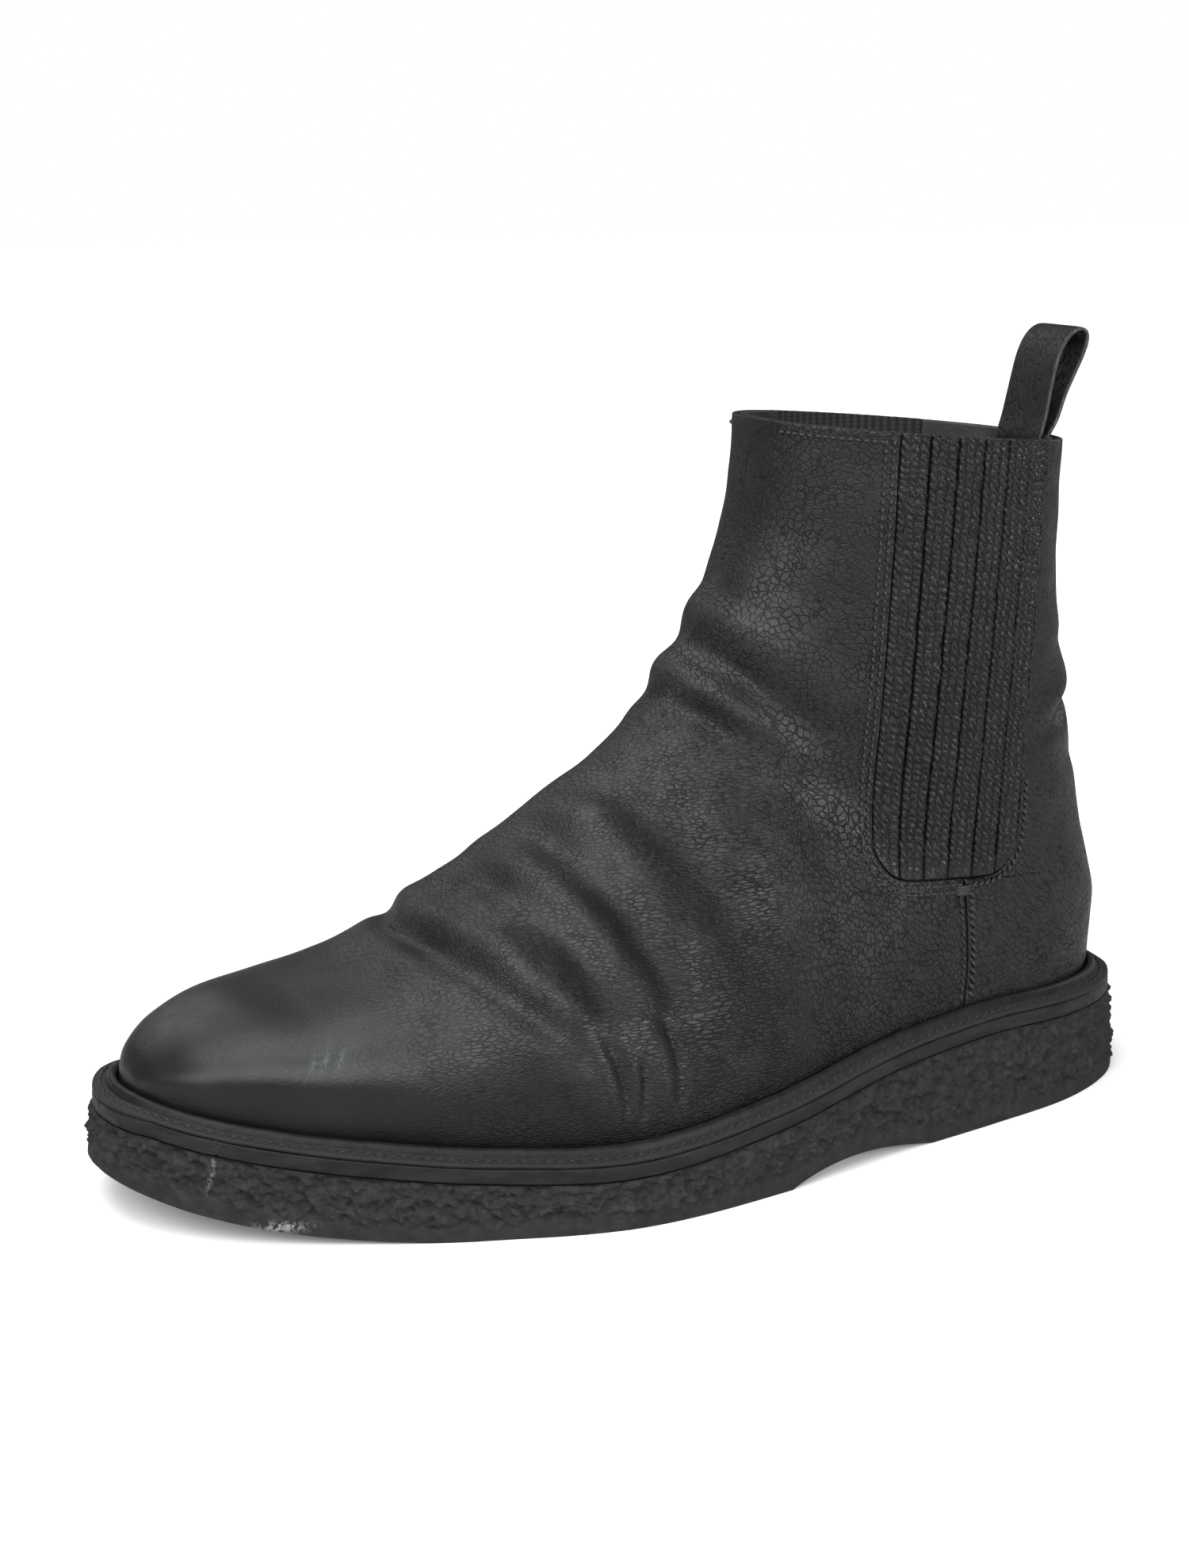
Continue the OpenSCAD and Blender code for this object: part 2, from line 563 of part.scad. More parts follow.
STITCH_MARGIN = 4.9;
module welt_thread() {
    low = -1.25;
    half = thread_w / 2;
    color(THREAD) ring([
        [STITCH_MARGIN - half, low], [STITCH_MARGIN - half, low + thread_h],
        [STITCH_MARGIN + half, low + thread_h], [STITCH_MARGIN + half, low]
    ]);
}

FILLER_FROM = 1.5;
FILLER_TO = 7.25;
module cork_filler() {
    color(CORK) stack([
        part_level(INSIDE, MIDSOLE_TOP - LEVEL_GAP, FILLER_FROM, FILLER_TO),
        part_level(INSIDE, BOARD_LOW + LEVEL_GAP, FILLER_FROM, FILLER_TO)
    ], whole = false);
}

// Spring-steel shank: a ribbed strip that follows the waist from the ball to the heel
SHANK_W = 14;
SHANK_T = 1.2;
SHANK_FROM = 2;
SHANK_TO = 112;
SHANK_LOW = 2.6;
module shank() {
    steps = 12;
    places = [for (k = [0 : steps]) mix(SHANK_FROM, SHANK_TO, k / steps) * FIT_Y];
    under = [for (y = places) [y, feather_z(y) - SHANK_LOW]];
    over = [for (k = [steps : -1 : 0]) under[k] + [0, SHANK_T]];
    color(STEEL) rotate([90, 0, 90])
        linear_extrude(height = SHANK_W, center = true) polygon(concat(under, over));
}

module insole_board() {
    color(BOARD) stack([level(INSIDE, BOARD_LOW), level(INSIDE, BOARD_LOW - insole_t)]);
}

PAD_T = 1;
PAD_FROM = 9.5;
PAD_INSET = 5;
module heel_pad() {
    low = BOARD_LOW - insole_t - LEVEL_GAP;
    color(LINING) stack([
        part_level(INSIDE - PAD_INSET, low, PAD_FROM, HEEL_ROW),
        part_level(INSIDE - PAD_INSET, low - PAD_T, PAD_FROM, HEEL_ROW)
    ], whole = false);
}

SOCK_INSET = 1.4;
module sock_liner() {
    low = BOARD_LOW - insole_t - PAD_T - 2 * LEVEL_GAP;
    color(LINING) stack([level(INSIDE - SOCK_INSET, low), level(INSIDE - SOCK_INSET, low - sock_t)]);
}

// ---------------------------------------------------------------- upper

module vamp() {
    color(LEATHER) layer(vamp_grid(SKIRT), 0, leather_t, closed = true);
}

module back_quarter() {
    color(LEATHER) layer(quarter_grid(SKIRT), 0, leather_t);
}

LINING_DROP = 0.6;
module vamp_lining() {
    color(LINING) layer(vamp_grid(LINING_DROP), LINING_IN, LINING_OUT, closed = true);
}

module quarter_lining() {
    color(LINING) layer(quarter_grid(LINING_DROP), LINING_IN, LINING_OUT);
}

// Stiff cap between the leather and the lining of the toe
module toe_puff() {
    g = vamp_grid(LINING_DROP);
    color(BOARD) layer(part_of(g, 0, PUFF_ROWS, 0, len(g[0]) - 1), MID_IN, MID_OUT, closed = true);
}

// Stiff cup between the leather and the lining of the heel
COUNTER_ROWS = 5;
COUNTER_INSET = 2;
module heel_counter() {
    g = quarter_grid(LINING_DROP);
    last = len(g[0]) - 1;
    color(BOARD) layer(part_of(g, 1, COUNTER_ROWS, COUNTER_INSET, last - COUNTER_INSET),
        MID_IN, MID_OUT);
}

// Tape that keeps the top line of the vamp from stretching
TAPE_ROWS = 1;
TAPE_INSET = 2;
module topline_tape() {
    g = vamp_grid(SKIRT);
    last = len(g[0]) - 1;
    rows = len(g) - 1;
    color(LINING) layer(part_of(g, rows - TAPE_ROWS, rows, TAPE_INSET, last - TAPE_INSET),
        MID_IN, MID_OUT);
}

// ---------------------------------------------------------------- gores

GORE_COLUMNS = 14;
GORE_ROWS = 10;

// Elastic panel behind the pleats, sewn under the leather all round
module gore_elastic(side) {
    reach = gore_underlap / (GORE_BACK_LOW - GORE_FRONT_LOW);
    rows = [for (i = [0 : GORE_ROWS]) let(a = i / GORE_ROWS)
        [for (j = [0 : GORE_COLUMNS])
            let(f = mix(-reach, 1 + reach, j / GORE_COLUMNS), g = min(max(f, 0), 1))
            let(y = gore_y(f, a), low = gore_bottom(g) - gore_underlap, high = topline_z(y))
            [y, mix(low, high, a)]]];
    color(ELASTIC) layer(patch(rows, side), MID_IN, MID_OUT);
}

// Leather-covered pleats that lie side by side over the elastic
PLEAT_CLEAR = 0.7;
PLEAT_T = 1;
PLEAT_COLUMNS = 4;
module gore_pleats(side) {
    pitch = 1 / pleats;
    slit = pleat_gap / (GORE_BACK_LOW - GORE_FRONT_LOW) / 2;
    color(LEATHER) for (k = [0 : pleats - 1]) {
        rows = [for (i = [0 : GORE_ROWS]) let(a = i / GORE_ROWS)
            [for (j = [0 : PLEAT_COLUMNS])
                let(f = mix(k * pitch + slit, (k + 1) * pitch - slit, j / PLEAT_COLUMNS))
                let(p = gore_place(f, a))
                [p[0], p[1] + (1 - a) * PLEAT_CLEAR]]];
        layer(patch(rows, side), 0, PLEAT_T);
    }
}

module gore_elastic_outer() { gore_elastic(OUTER); }
module gore_elastic_inner() { gore_elastic(INNER); }
module gore_pleats_outer() { gore_pleats(OUTER); }
module gore_pleats_inner() { gore_pleats(INNER); }

// ---------------------------------------------------------------- stitching

THREAD_CLEAR = 0.35;

// Thread that lies on the surface along a line of (y, z) places
module thread_line(places, side) {
    last = len(places) - 1;
    rows = [for (i = [0 : last])
        let(d = unit(places[min(i + 1, last)] - places[max(i - 1, 0)]))
        let(n = [-d[1], d[0]] * thread_w / 2) [places[i] + n, places[i] - n]];
    g = patch(rows, side);
    color(THREAD) layer(g, -THREAD_CLEAR - thread_h, -THREAD_CLEAR);
}

// Line of stitches that runs down the front of the gore and round its bottom
STITCH_INSET = 3;
module gore_thread(side) {
    scale_f = GORE_BACK_LOW - GORE_FRONT_LOW;
    edge = concat(
        [for (a = [0.97 : -0.08 : 0]) gore_place(0, a) - [STITCH_INSET, 0]],
        [for (f = [0.05 : 0.07 : SEAM_F - 0.1])
            gore_place(f, 0) - [STITCH_INSET * pow(1 - f, 8), STITCH_INSET]]
    );
    thread_line(edge, side);
}
module gore_thread_outer() { gore_thread(OUTER); }
module gore_thread_inner() { gore_thread(INNER); }

// Line of stitches in front of the side seam
module seam_thread(side) {
    thread_line([for (a = [0.08 : 0.105 : 0.9]) seam_place(a) - [1.8, 0]], side);
}
module seam_thread_outer() { seam_thread(OUTER); }
module seam_thread_inner() { seam_thread(INNER); }

// Bar tack: a short, thick row of stitches that locks the top of the side seam
TACK_L = 5;
TACK_H = 1.4;
TACK_DROP = 3.4;
module bar_tack(side) {
    c = gore_place(SEAM_F, 0) - [0, TACK_DROP];
    g = patch([for (z = [-0.5, 0.5]) [for (y = [-0.5, 0, 0.5])
        c + [y * TACK_L, z * TACK_H]]], side);
    color(THREAD) layer(g, -THREAD_CLEAR - 2 * thread_h, -THREAD_CLEAR);
}
module bar_tack_outer() { bar_tack(OUTER); }
module bar_tack_inner() { bar_tack(INNER); }

// Line of stitches below the top line of the vamp
TOPLINE_DROP = 2.2;
module topline_thread() {
    g = vamp_grid(SKIRT);
    rows = len(g) - 1;
    last = len(g[0]) - 1;
    step = norm(g[rows][0] - g[rows - 1][0]);
    function row(drop) = [for (j = [1 : last - 1]) mix(g[rows][j], g[rows - 1][j], drop / step)];
    strip = [row(TOPLINE_DROP + thread_w), row(TOPLINE_DROP)];
    color(THREAD) layer(strip, -THREAD_CLEAR - thread_h, -THREAD_CLEAR);
}

// ---------------------------------------------------------------- pull tab

// The strap makes a loop that leans backwards. Its ends are sewn to the back of the
// shaft, the outer one between leather and lining and the inner one inside the lining.
TAB_COLUMNS = 4;
TAB_CLEAR = 3.4;
TAB_CUP = 0.0125;
TAB_BACK_Y = TOP_BACK[0];
TAB_BULGE = 12.5;
TAB_LEAN = 8.5;

// Middle line of the strap seen from the side, from the inner leg over to the outer leg.
// Share t runs from 0 to 1, and s is the distance from the narrow foot of the loop.
function tab_line(t) =
    let(turn = 180 * t, rise = pow(sin(turn), 0.8))
    let(lean = TAB_LEAN * pow(rise, 1.3), open = (1 - cos(turn)) / 2)
    let(foot = mix(-3.6, 0.2, open), bulge = TAB_BULGE * pow(rise, 2) * (open - 0.5))
    [TAB_BACK_Y + foot + lean + bulge, TOP_BACK[1] + mix(TAB_CLEAR, tab_h, rise)];

// A strap from a side-view line: its cross-section is cupped near the boot, and flat
// further up
module strap(line, cups) {
    last = len(line) - 1;
    dirs = [for (i = [0 : last]) unit(line[min(i + 1, last)] - line[max(i - 1, 0)])];
    function side_of(k) = [for (i = [0 : last]) [for (j = [0 : TAB_COLUMNS])
        let(x = tab_w * (j / TAB_COLUMNS - 0.5))
        let(p = line[i] + k * tab_t / 2 * [-dirs[i][1], dirs[i][0]])
        [x, p[0] - cups[i] * x * x, p[1]]]];
    shell(side_of(1), side_of(-1));
}

TAB_STEPS = 24;
module pull_tab() {
    line = [for (i = [0 : TAB_STEPS]) tab_line(i / TAB_STEPS)];
    cups = [for (p = line) TAB_CUP * max(0, 1 - (p[1] - TOP_BACK[1]) / tab_h)];
    color(LEATHER) strap(line, cups);
}

// Sewn ends of the strap
ANCHOR_DEPTH = 10;
ANCHOR_PROUD = 0.2;
module pull_tab_anchor() {
    middle = (leather_t + LINING_IN) / 2;
    inside = LINING_OUT + 0.25 + tab_t / 2;
    color(LEATHER) for (depth = [middle, inside]) {
        line = [for (z = [-ANCHOR_DEPTH, -ANCHOR_DEPTH / 2, -0.5, ANCHOR_PROUD])
            let(p = back_point(TOP_BACK[1] + z)) [p[1] - depth, TOP_BACK[1] + z]];
        strap(line, [for (p = line) TAB_CUP]);
    }
}

outsole();
midsole();
welt();
welt_thread();
cork_filler();
shank();
insole_board();
heel_pad();
sock_liner();
vamp();
back_quarter();
vamp_lining();
quarter_lining();
toe_puff();
heel_counter();
topline_tape();
gore_elastic_outer();
gore_elastic_inner();
gore_pleats_outer();
gore_pleats_inner();
gore_thread_outer();
gore_thread_inner();
seam_thread_outer();
seam_thread_inner();
bar_tack_outer();
bar_tack_inner();
topline_thread();
pull_tab();
pull_tab_anchor();
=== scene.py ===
"""Looks of the chelsea boot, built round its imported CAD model.

Lengths are in millimetres until a mesh is made, in the CAD model's frame: ground at z = 0,
toe towards -Y, heel towards +Y and the outer side of this left boot towards +X.
"""

import math

import bmesh
import bpy
import numpy as np
from mathutils import Matrix, noise


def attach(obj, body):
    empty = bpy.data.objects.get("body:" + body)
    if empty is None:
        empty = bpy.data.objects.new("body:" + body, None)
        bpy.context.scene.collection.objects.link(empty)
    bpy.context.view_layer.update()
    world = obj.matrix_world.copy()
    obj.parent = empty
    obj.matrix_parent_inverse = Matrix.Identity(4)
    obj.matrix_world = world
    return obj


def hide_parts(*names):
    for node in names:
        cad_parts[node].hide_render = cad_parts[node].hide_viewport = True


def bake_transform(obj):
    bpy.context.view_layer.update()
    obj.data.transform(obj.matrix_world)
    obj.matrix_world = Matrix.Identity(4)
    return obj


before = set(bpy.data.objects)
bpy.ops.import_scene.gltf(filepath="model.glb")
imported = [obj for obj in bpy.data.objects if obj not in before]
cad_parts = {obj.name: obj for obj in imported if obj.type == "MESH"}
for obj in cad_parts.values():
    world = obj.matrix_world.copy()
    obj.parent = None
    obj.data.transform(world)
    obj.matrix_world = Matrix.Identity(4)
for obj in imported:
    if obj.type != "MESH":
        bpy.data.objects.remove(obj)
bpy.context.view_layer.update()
MM = 0.001
OUTER, INNER = 1, -1

# ------------------------------------------------------------------ shape of the last

# The same driving sizes and rules as in the CAD source. The feather line is where the
# upper meets the sole, and all sections lie on rays towards PIVOT.
BALL_WIDTH, WELT_MARGIN, SHAFT_BACK_Z = 113.0, 6.6, 178.5
PIVOT = np.array([-120.0, 200.0])
TOE_Y, HEEL_Y, BALL_Y, SEAT_Y = -143.0, 136.8, -35.0, 79.0
BALL_Z, TOE_RISE, SEAT_RISE, HEEL_DROP = 19.0, 12.6, 12.6, 2.3

# Pairs of a place along the boot and a value: the foot's half widths, those that the
# shaft asks for, the x of the ridge line, the share of the height at which a section is
# widest (its belly), and the power of its curve (its roundness)
FOOT_OUTER = [(-118, 39.5), (BALL_Y, 59.5), (88, 36.5)]
FOOT_INNER = [(-118, 36.5), (-70, 38.5), (35, 27.5), (52, 27.5), (126, 35)]
SHAFT_OUTER = [(-60, 0), (40, 34.5)]
SHAFT_INNER = [(-90, 0), (-20, 30.5), (60, 31), (HEEL_Y, 34)]
RIDGE_LINE = [(-120, -6.5), (80, 0)]
BELLY_AT = [(TOE_Y, 0.45), (-70, 0.25), (BALL_Y, 0.2), (45, 0.25), (HEEL_Y, 0.42)]
ROUNDNESS = [(-98, 2.3), (45, 1.75), (HEEL_Y, 2)]
TOE_ROUND, HEEL_ROUND, TOE_DOME = 55.0, 74.0, 40.0
OVERHANG, BLEND = 1.02, 10.0

# Pairs of a ray's angle and the distance of the boot's front line from the pivot
FRONT_LINE = [(-83, 149), (-54, 138.5), (-33, 145), (-15, 150), (-5, 148.5)]

SHAFT_BACK_Y, HEEL_BULGE, BULGE_LOW_Z, BULGE_TOP_Z, BULGE_POWER = 117.5, 20.0, 48.0, 142.0, 1.25
SHAFT_GROWTH = [(BULGE_LOW_Z, 0), (BULGE_TOP_Z, 1.5)]
BACK_BELLY = [(30, 0.42), (86, 0.5)]
BACK_ROUNDNESS = [(BULGE_LOW_Z, 2), (BULGE_TOP_Z, 2.2)]

# Distances of the sections from the toe tip and from the heel, and heights up the back
FROM_TOE = [0, 1, 4.5, 12.5, 26, 45, 73, 108, 148, 188]
FROM_HEEL = [58, 31.5, 13, 3, 0]
UP_BACK = [48, 65, 86, 110, 142, SHAFT_BACK_Z]
HEEL_ROW = len(FROM_TOE) + len(FROM_HEEL) - 1
TOP_ROW = HEEL_ROW + len(UP_BACK)
Y, Z, OUT, IN, RIDGE_X, REACH, WIDE_OUT, WIDE_IN, BELLY, POWER = range(10)

CURVE_POINTS = 2001
TINY = 0.001


def mix(a, b, t):
    return a + (b - a) * t


def smooth(low, high, v):
    t = np.clip((v - low) / (high - low), 0, 1)
    return t * t * (3 - 2 * t)


def unit(v):
    return v / np.maximum(np.linalg.norm(v, axis=-1, keepdims=True), 1e-9)


def eased(v, pairs):
    """Value at v of a list of pairs, which are joined by soft steps."""
    value = pairs[0][1]
    for (low, _), (high, end) in zip(pairs, pairs[1:]):
        value = mix(value, end, smooth(low, high, v))
    return value


def straight(v, pairs):
    return np.interp(v, *np.array(pairs, float).T)


def run_of(line):
    """How far along a line each of its points lies."""
    return np.concatenate([[0], np.cumsum(np.linalg.norm(np.diff(line, axis=0), axis=1))])


def picked(line, run, at):
    return np.stack([np.interp(at, run, values) for values in line.T], -1)


def rounding(d, length):
    """Quarter of an ellipse: 0 at an end, and 1 from the given length on."""
    return math.sqrt(1 - np.clip(1 - d / length, 0, 1) ** 2)


def fuller(foot, shaft):
    return ((OVERHANG * foot) ** BLEND + shaft**BLEND) ** (1 / BLEND)


def front_share(y, z):
    """Share of the way from a place to the pivot at which the front line lies."""
    gap_y, gap_z = y - PIVOT[0], z - PIVOT[1]
    ray = math.degrees(math.atan2(gap_z, gap_y))
    return 1 - eased(ray, FRONT_LINE) / math.hypot(gap_y, gap_z)


def sole_section(y):
    seat_z = BALL_Z + SEAT_RISE
    if y < BALL_Y:
        z = BALL_Z + TOE_RISE * ((y - BALL_Y) / (TOE_Y - BALL_Y)) ** 2
    else:
        z = eased(y, [(BALL_Y, BALL_Z), (SEAT_Y, seat_z), (HEEL_Y, seat_z - HEEL_DROP)])
    ridge = eased(y, RIDGE_LINE)
    ends = rounding(y - TOE_Y, TOE_ROUND) * rounding(HEEL_Y - y, HEEL_ROUND)
    outer, inner = eased(y, FOOT_OUTER) * ends, eased(y, FOOT_INNER) * ends
    return [
        y, z, ridge + outer, ridge - inner, ridge,
        front_share(y, z) * rounding(y - TOE_Y, TOE_DOME),
        fuller(outer, eased(y, SHAFT_OUTER)), fuller(inner, eased(y, SHAFT_INNER)),
        straight(y, BELLY_AT), straight(y, ROUNDNESS),
    ]


def back_section(z):
    rise = max(BULGE_TOP_Z - z, 0) / (BULGE_TOP_Z - BULGE_LOW_Z)
    y = SHAFT_BACK_Y + HEEL_BULGE * rise**BULGE_POWER
    more = straight(z, SHAFT_GROWTH)
    return [
        y, z, 0, 0, 0, front_share(y, z),
        eased(HEEL_Y, SHAFT_OUTER) + more, eased(HEEL_Y, SHAFT_INNER) + more,
        straight(z, BACK_BELLY), straight(z, BACK_ROUNDNESS),
    ]


SECTIONS = np.array(
    [sole_section(TOE_Y + d) for d in FROM_TOE]
    + [sole_section(HEEL_Y - d) for d in FROM_HEEL]
    + [back_section(z) for z in UP_BACK]
)
FIT_X = (BALL_WIDTH - 2 * WELT_MARGIN) / (SECTIONS[:, OUT].max() - SECTIONS[:, IN].min())
SECTIONS[:, [OUT, IN, RIDGE_X, WIDE_OUT, WIDE_IN]] *= FIT_X


def catmull(table, v):
    """Rows of a table at any row number, on a Catmull-Rom curve through it."""
    v = np.atleast_1d(np.asarray(v, float))
    ends = np.vstack([2 * table[0] - table[1], table, 2 * table[-1] - table[-2]])
    i = np.clip(np.floor(v).astype(int), 0, len(table) - 2)
    t = (v - i)[:, None]
    a, b, c, d = (ends[i + k] for k in range(4))
    return 0.5 * (
        2 * b + (c - a) * t + (2 * a - 5 * b + 4 * c - d) * t**2
        + (3 * b - a - 3 * c + d) * t**3
    )


def section(v):
    """Sections at any row number: one curve up to the heel and a second one up the back."""
    v = np.asarray(v, float)
    sole = catmull(SECTIONS[: HEEL_ROW + 1], np.minimum(v, HEEL_ROW))
    back = catmull(SECTIONS[HEEL_ROW:], np.maximum(v - HEEL_ROW, 0))
    return np.where((v < HEEL_ROW)[:, None], sole, back)


ROW_NUMBERS = np.linspace(0, TOP_ROW, CURVE_POINTS)
ROWS = section(ROW_NUMBERS)
RAYS = np.arctan2(ROWS[:, Z] - PIVOT[1], ROWS[:, Y] - PIVOT[0])
RIDGE = ROWS[:, :2] + (PIVOT - ROWS[:, :2]) * ROWS[:, REACH, None]
IS_SOLE = ROW_NUMBERS <= HEEL_ROW
IS_BACK = ROW_NUMBERS >= HEEL_ROW
FEATHER_Y, FEATHER_Z = ROWS[IS_SOLE, Y], ROWS[IS_SOLE, Z]


def feather_z(y):
    """Height of the feather line, where the upper meets the sole."""
    return np.interp(y, FEATHER_Y, FEATHER_Z)


def half_width(s, t, side):
    """Half width of sections at share t of their height."""
    foot = np.maximum(np.where(side > 0, s[:, OUT] - s[:, RIDGE_X], s[:, RIDGE_X] - s[:, IN]), 0)
    wide = np.maximum(np.where(side > 0, s[:, WIDE_OUT], s[:, WIDE_IN]), foot + TINY)
    belly, n = s[:, BELLY], s[:, POWER]
    above = np.clip((t - belly) / (1 - belly), 0, 1)
    below = np.clip((belly - t) / belly, 0, 1)
    pinch = 1 - (foot / wide) ** n
    share = np.where(t >= belly, 1 - above**n, 1 - pinch * below**n)
    return wide * np.maximum(share, 0) ** (1 / n)


def skin(y, z, side):
    """Points of the boot's outer surface at places (y, z) on one side."""
    y, z, side = (np.asarray(a, float) for a in np.broadcast_arrays(y, z, side))
    shape, y, z, side = y.shape, y.ravel(), z.ravel(), side.ravel()
    gap_y, gap_z = y - PIVOT[0], z - PIVOT[1]
    s = section(np.interp(np.arctan2(gap_z, gap_y), RAYS, ROW_NUMBERS))
    far = np.hypot(s[:, Y] - PIVOT[0], s[:, Z] - PIVOT[1])
    t = (1 - np.hypot(gap_y, gap_z) / far) / np.maximum(s[:, REACH], TINY)
    x = s[:, RIDGE_X] + side * half_width(s, np.clip(t, 0, 1), side)
    low = section(np.interp(y, FEATHER_Y, ROW_NUMBERS[IS_SOLE]))
    x_low = np.where(side > 0, low[:, OUT], low[:, IN])
    x = np.where(z <= feather_z(y), x_low, x)
    return np.stack([x, y, z], -1).reshape(*shape, 3)


def ridge_point(z):
    """(y, z) on the front silhouette at a height."""
    v = np.interp(z, RIDGE[:, 1], ROW_NUMBERS)
    s = section(v)
    return s[:, :2] + (PIVOT - s[:, :2]) * s[:, REACH, None]


def ridge_height(v):
    return np.interp(v, ROW_NUMBERS, RIDGE[:, 1])


def back_point(z):
    """(y, z) up the back of the boot at a height, where z may be below the feather."""
    y = np.interp(z, ROWS[IS_BACK, Z], ROWS[IS_BACK, Y])
    return np.stack([y, z], -1)


TOP_BACK = SECTIONS[TOP_ROW, :2]
TOP_FRONT = RIDGE[-1]


def topline_z(y):
    slope = (TOP_BACK[1] - TOP_FRONT[1]) / (TOP_BACK[0] - TOP_FRONT[0])
    return TOP_FRONT[1] + (y - TOP_FRONT[0]) * slope


# ------------------------------------------------------------------ seams in the side view

# Places along the boot of the gore's two edges at their lower and their upper end
GORE_FRONT = (47.0, 52.3)
GORE_BACK = (92.0, 100.0)
GORE_LOW_Z = 66.5
GORE_CORNER, CORNER_POWER = 9.0, 6
GORE_SLOPE = 1.6
SEAM_Y = 74.5
SEAM_F = (SEAM_Y - GORE_FRONT[0]) / (GORE_BACK[0] - GORE_FRONT[0])
SEAM_BOW = 1.6


def gore_place(f, a):
    """(y, z) on the gore, at share f from front to back and share a of its height."""
    f, a = (np.asarray(v, float) for v in np.broadcast_arrays(f, a))
    low, high = mix(GORE_FRONT[0], GORE_BACK[0], f), mix(GORE_FRONT[1], GORE_BACK[1], f)
    bottom = GORE_LOW_Z + GORE_SLOPE * (1 - 2 * f)
    bottom = bottom + GORE_CORNER * np.abs(2 * f - 1) ** CORNER_POWER
    return np.stack([mix(low, high, a), mix(bottom, topline_z(high), a)], -1)


def seam_place(a):
    a = np.asarray(a, float)
    low = np.array([SEAM_Y, feather_z(SEAM_Y)])
    high = gore_place(SEAM_F, 0.0)
    place = mix(low, high, a[..., None])
    place[..., 0] += SEAM_BOW * np.sin(math.pi * a)
    return place


# ------------------------------------------------------------------ grids on the surface

LEATHER_T = 1.2
LINING_IN, LINING_OUT = 2.8, 3.4
SKIRT, LINING_DROP = 2.2, 0.6
LINING_FINENESS = 0.5
SEAM_ROW = float(np.interp(SEAM_Y, FEATHER_Y, ROW_NUMBERS[IS_SOLE]))

# Rows of the ridge that face rows of the feather line, and those that face the foot of the
# side seam, its top and the gore's front corner
RIDGE_FOR_EDGE = ([0, 3, 5, 8, SEAM_ROW], [0, 3, 4.2, 5.3, 6.1])
RIDGE_AT = (6.1, 7.0, 7.5)
BACK_FOOT_Z = SECTIONS[HEEL_ROW, Z]
BACK_SEAM_Z, BACK_CORNER_Z = 62.0, 84.0
SEAM_GAP = 0.35

# Steps of the grids along the edges of the leather and across it, and the places that are
# crowded together at the tip of the toe and at the rounded edges
FOOT_STEPS, SEAM_STEPS, CORNER_STEPS = 250, 36, 26
VAMP_GORE_STEPS, QUARTER_GORE_STEPS = 108, 104
VAMP_ACROSS, QUARTER_ACROSS = 86, 64
TIP_ROWS, FOOT_ROWS_FROM = [0, 0.04, 0.1, 0.2], 0.3
TOP_SHARES = [0.9965, 0.9985, 1.0]
EDGE_SHARES = np.array([0.0, 0.0015, 0.004, 0.008])


def steps(n):
    return np.linspace(0, 1, int(n) + 1)[1:]


def steps_to_top(n):
    return np.concatenate([steps(n)[:-1], TOP_SHARES])


def shares(n):
    """Shares of the way from an edge to the ridge or the back, dense at both ends."""
    even = np.sin(0.5 * math.pi * np.linspace(0, 1, int(n) + 1))
    return np.concatenate([EDGE_SHARES, even[even > 2 * EDGE_SHARES[-1]]])


def fan(edge, middle, n):
    """Places (y, z) on lines from an edge to the middle of the boot."""
    return edge[:, None] + (middle - edge)[:, None] * shares(n)[None, :, None]


def over(y, z, first):
    """Points on one side, over the middle and back on the other side."""
    return np.concatenate([skin(y, z, first), skin(y, z, -first)[:, -2::-1]], 1)


def vamp_grid(drop, fine=1.0):
    """Rows of points from the outer edge, over the ridge, to the inner edge."""
    along = np.linspace(FOOT_ROWS_FROM, SEAM_ROW, int(FOOT_STEPS * fine))
    foot = np.concatenate([TIP_ROWS, along])
    seam, gore = steps(SEAM_STEPS * fine), steps_to_top(VAMP_GORE_STEPS * fine)
    edge = np.vstack([
        section(foot)[:, [Y, Z]] - [0, drop], seam_place(seam),
        gore_place(SEAM_F * (1 - seam), 0.0), gore_place(0.0, gore),
    ])
    heights = np.concatenate([
        ridge_height(np.interp(foot, *RIDGE_FOR_EDGE)),
        ridge_height(mix(RIDGE_AT[0], RIDGE_AT[1], seam)),
        ridge_height(mix(RIDGE_AT[1], RIDGE_AT[2], seam)),
        mix(ridge_height(RIDGE_AT[2]), TOP_FRONT[1], gore),
    ])
    place = fan(edge, ridge_point(heights), VAMP_ACROSS * fine)
    return over(place[..., 0], place[..., 1], OUTER)


def quarter_grid(drop, fine=1.0):
    """Rows of points from the inner edge, round the back, to the outer edge."""
    skirt = np.linspace(drop, 0.02, 4)
    seam = np.linspace(0, 1, int(SEAM_STEPS * fine))
    corner, gore = steps(CORNER_STEPS * fine), steps_to_top(QUARTER_GORE_STEPS * fine)
    foot = seam_place(np.zeros(len(skirt)))
    foot[:, 1] -= skirt
    edge = np.vstack([
        foot + [SEAM_GAP, 0], seam_place(seam) + [SEAM_GAP, 0],
        gore_place(mix(SEAM_F, 1, corner), 0.0), gore_place(1.0, gore),
    ])
    heights = np.concatenate([
        BACK_FOOT_Z - skirt, mix(BACK_FOOT_Z, BACK_SEAM_Z, seam),
        mix(BACK_SEAM_Z, BACK_CORNER_Z, corner**2), mix(BACK_CORNER_Z, TOP_BACK[1], gore),
    ])
    place = fan(edge, back_point(heights), QUARTER_ACROSS * fine)
    y, z = place[..., 0], place[..., 1]
    below = (heights - BACK_FOOT_Z)[:, None]
    z = np.where(below < 0, feather_z(y) + below, np.maximum(z, feather_z(y)))
    return over(y, z, INNER)


WALL_REACH, STITCH_REACH = 0.4, 0.6
WALL_FROM_X, WALL_FROM_Y = (16, 24), (-85, -60)


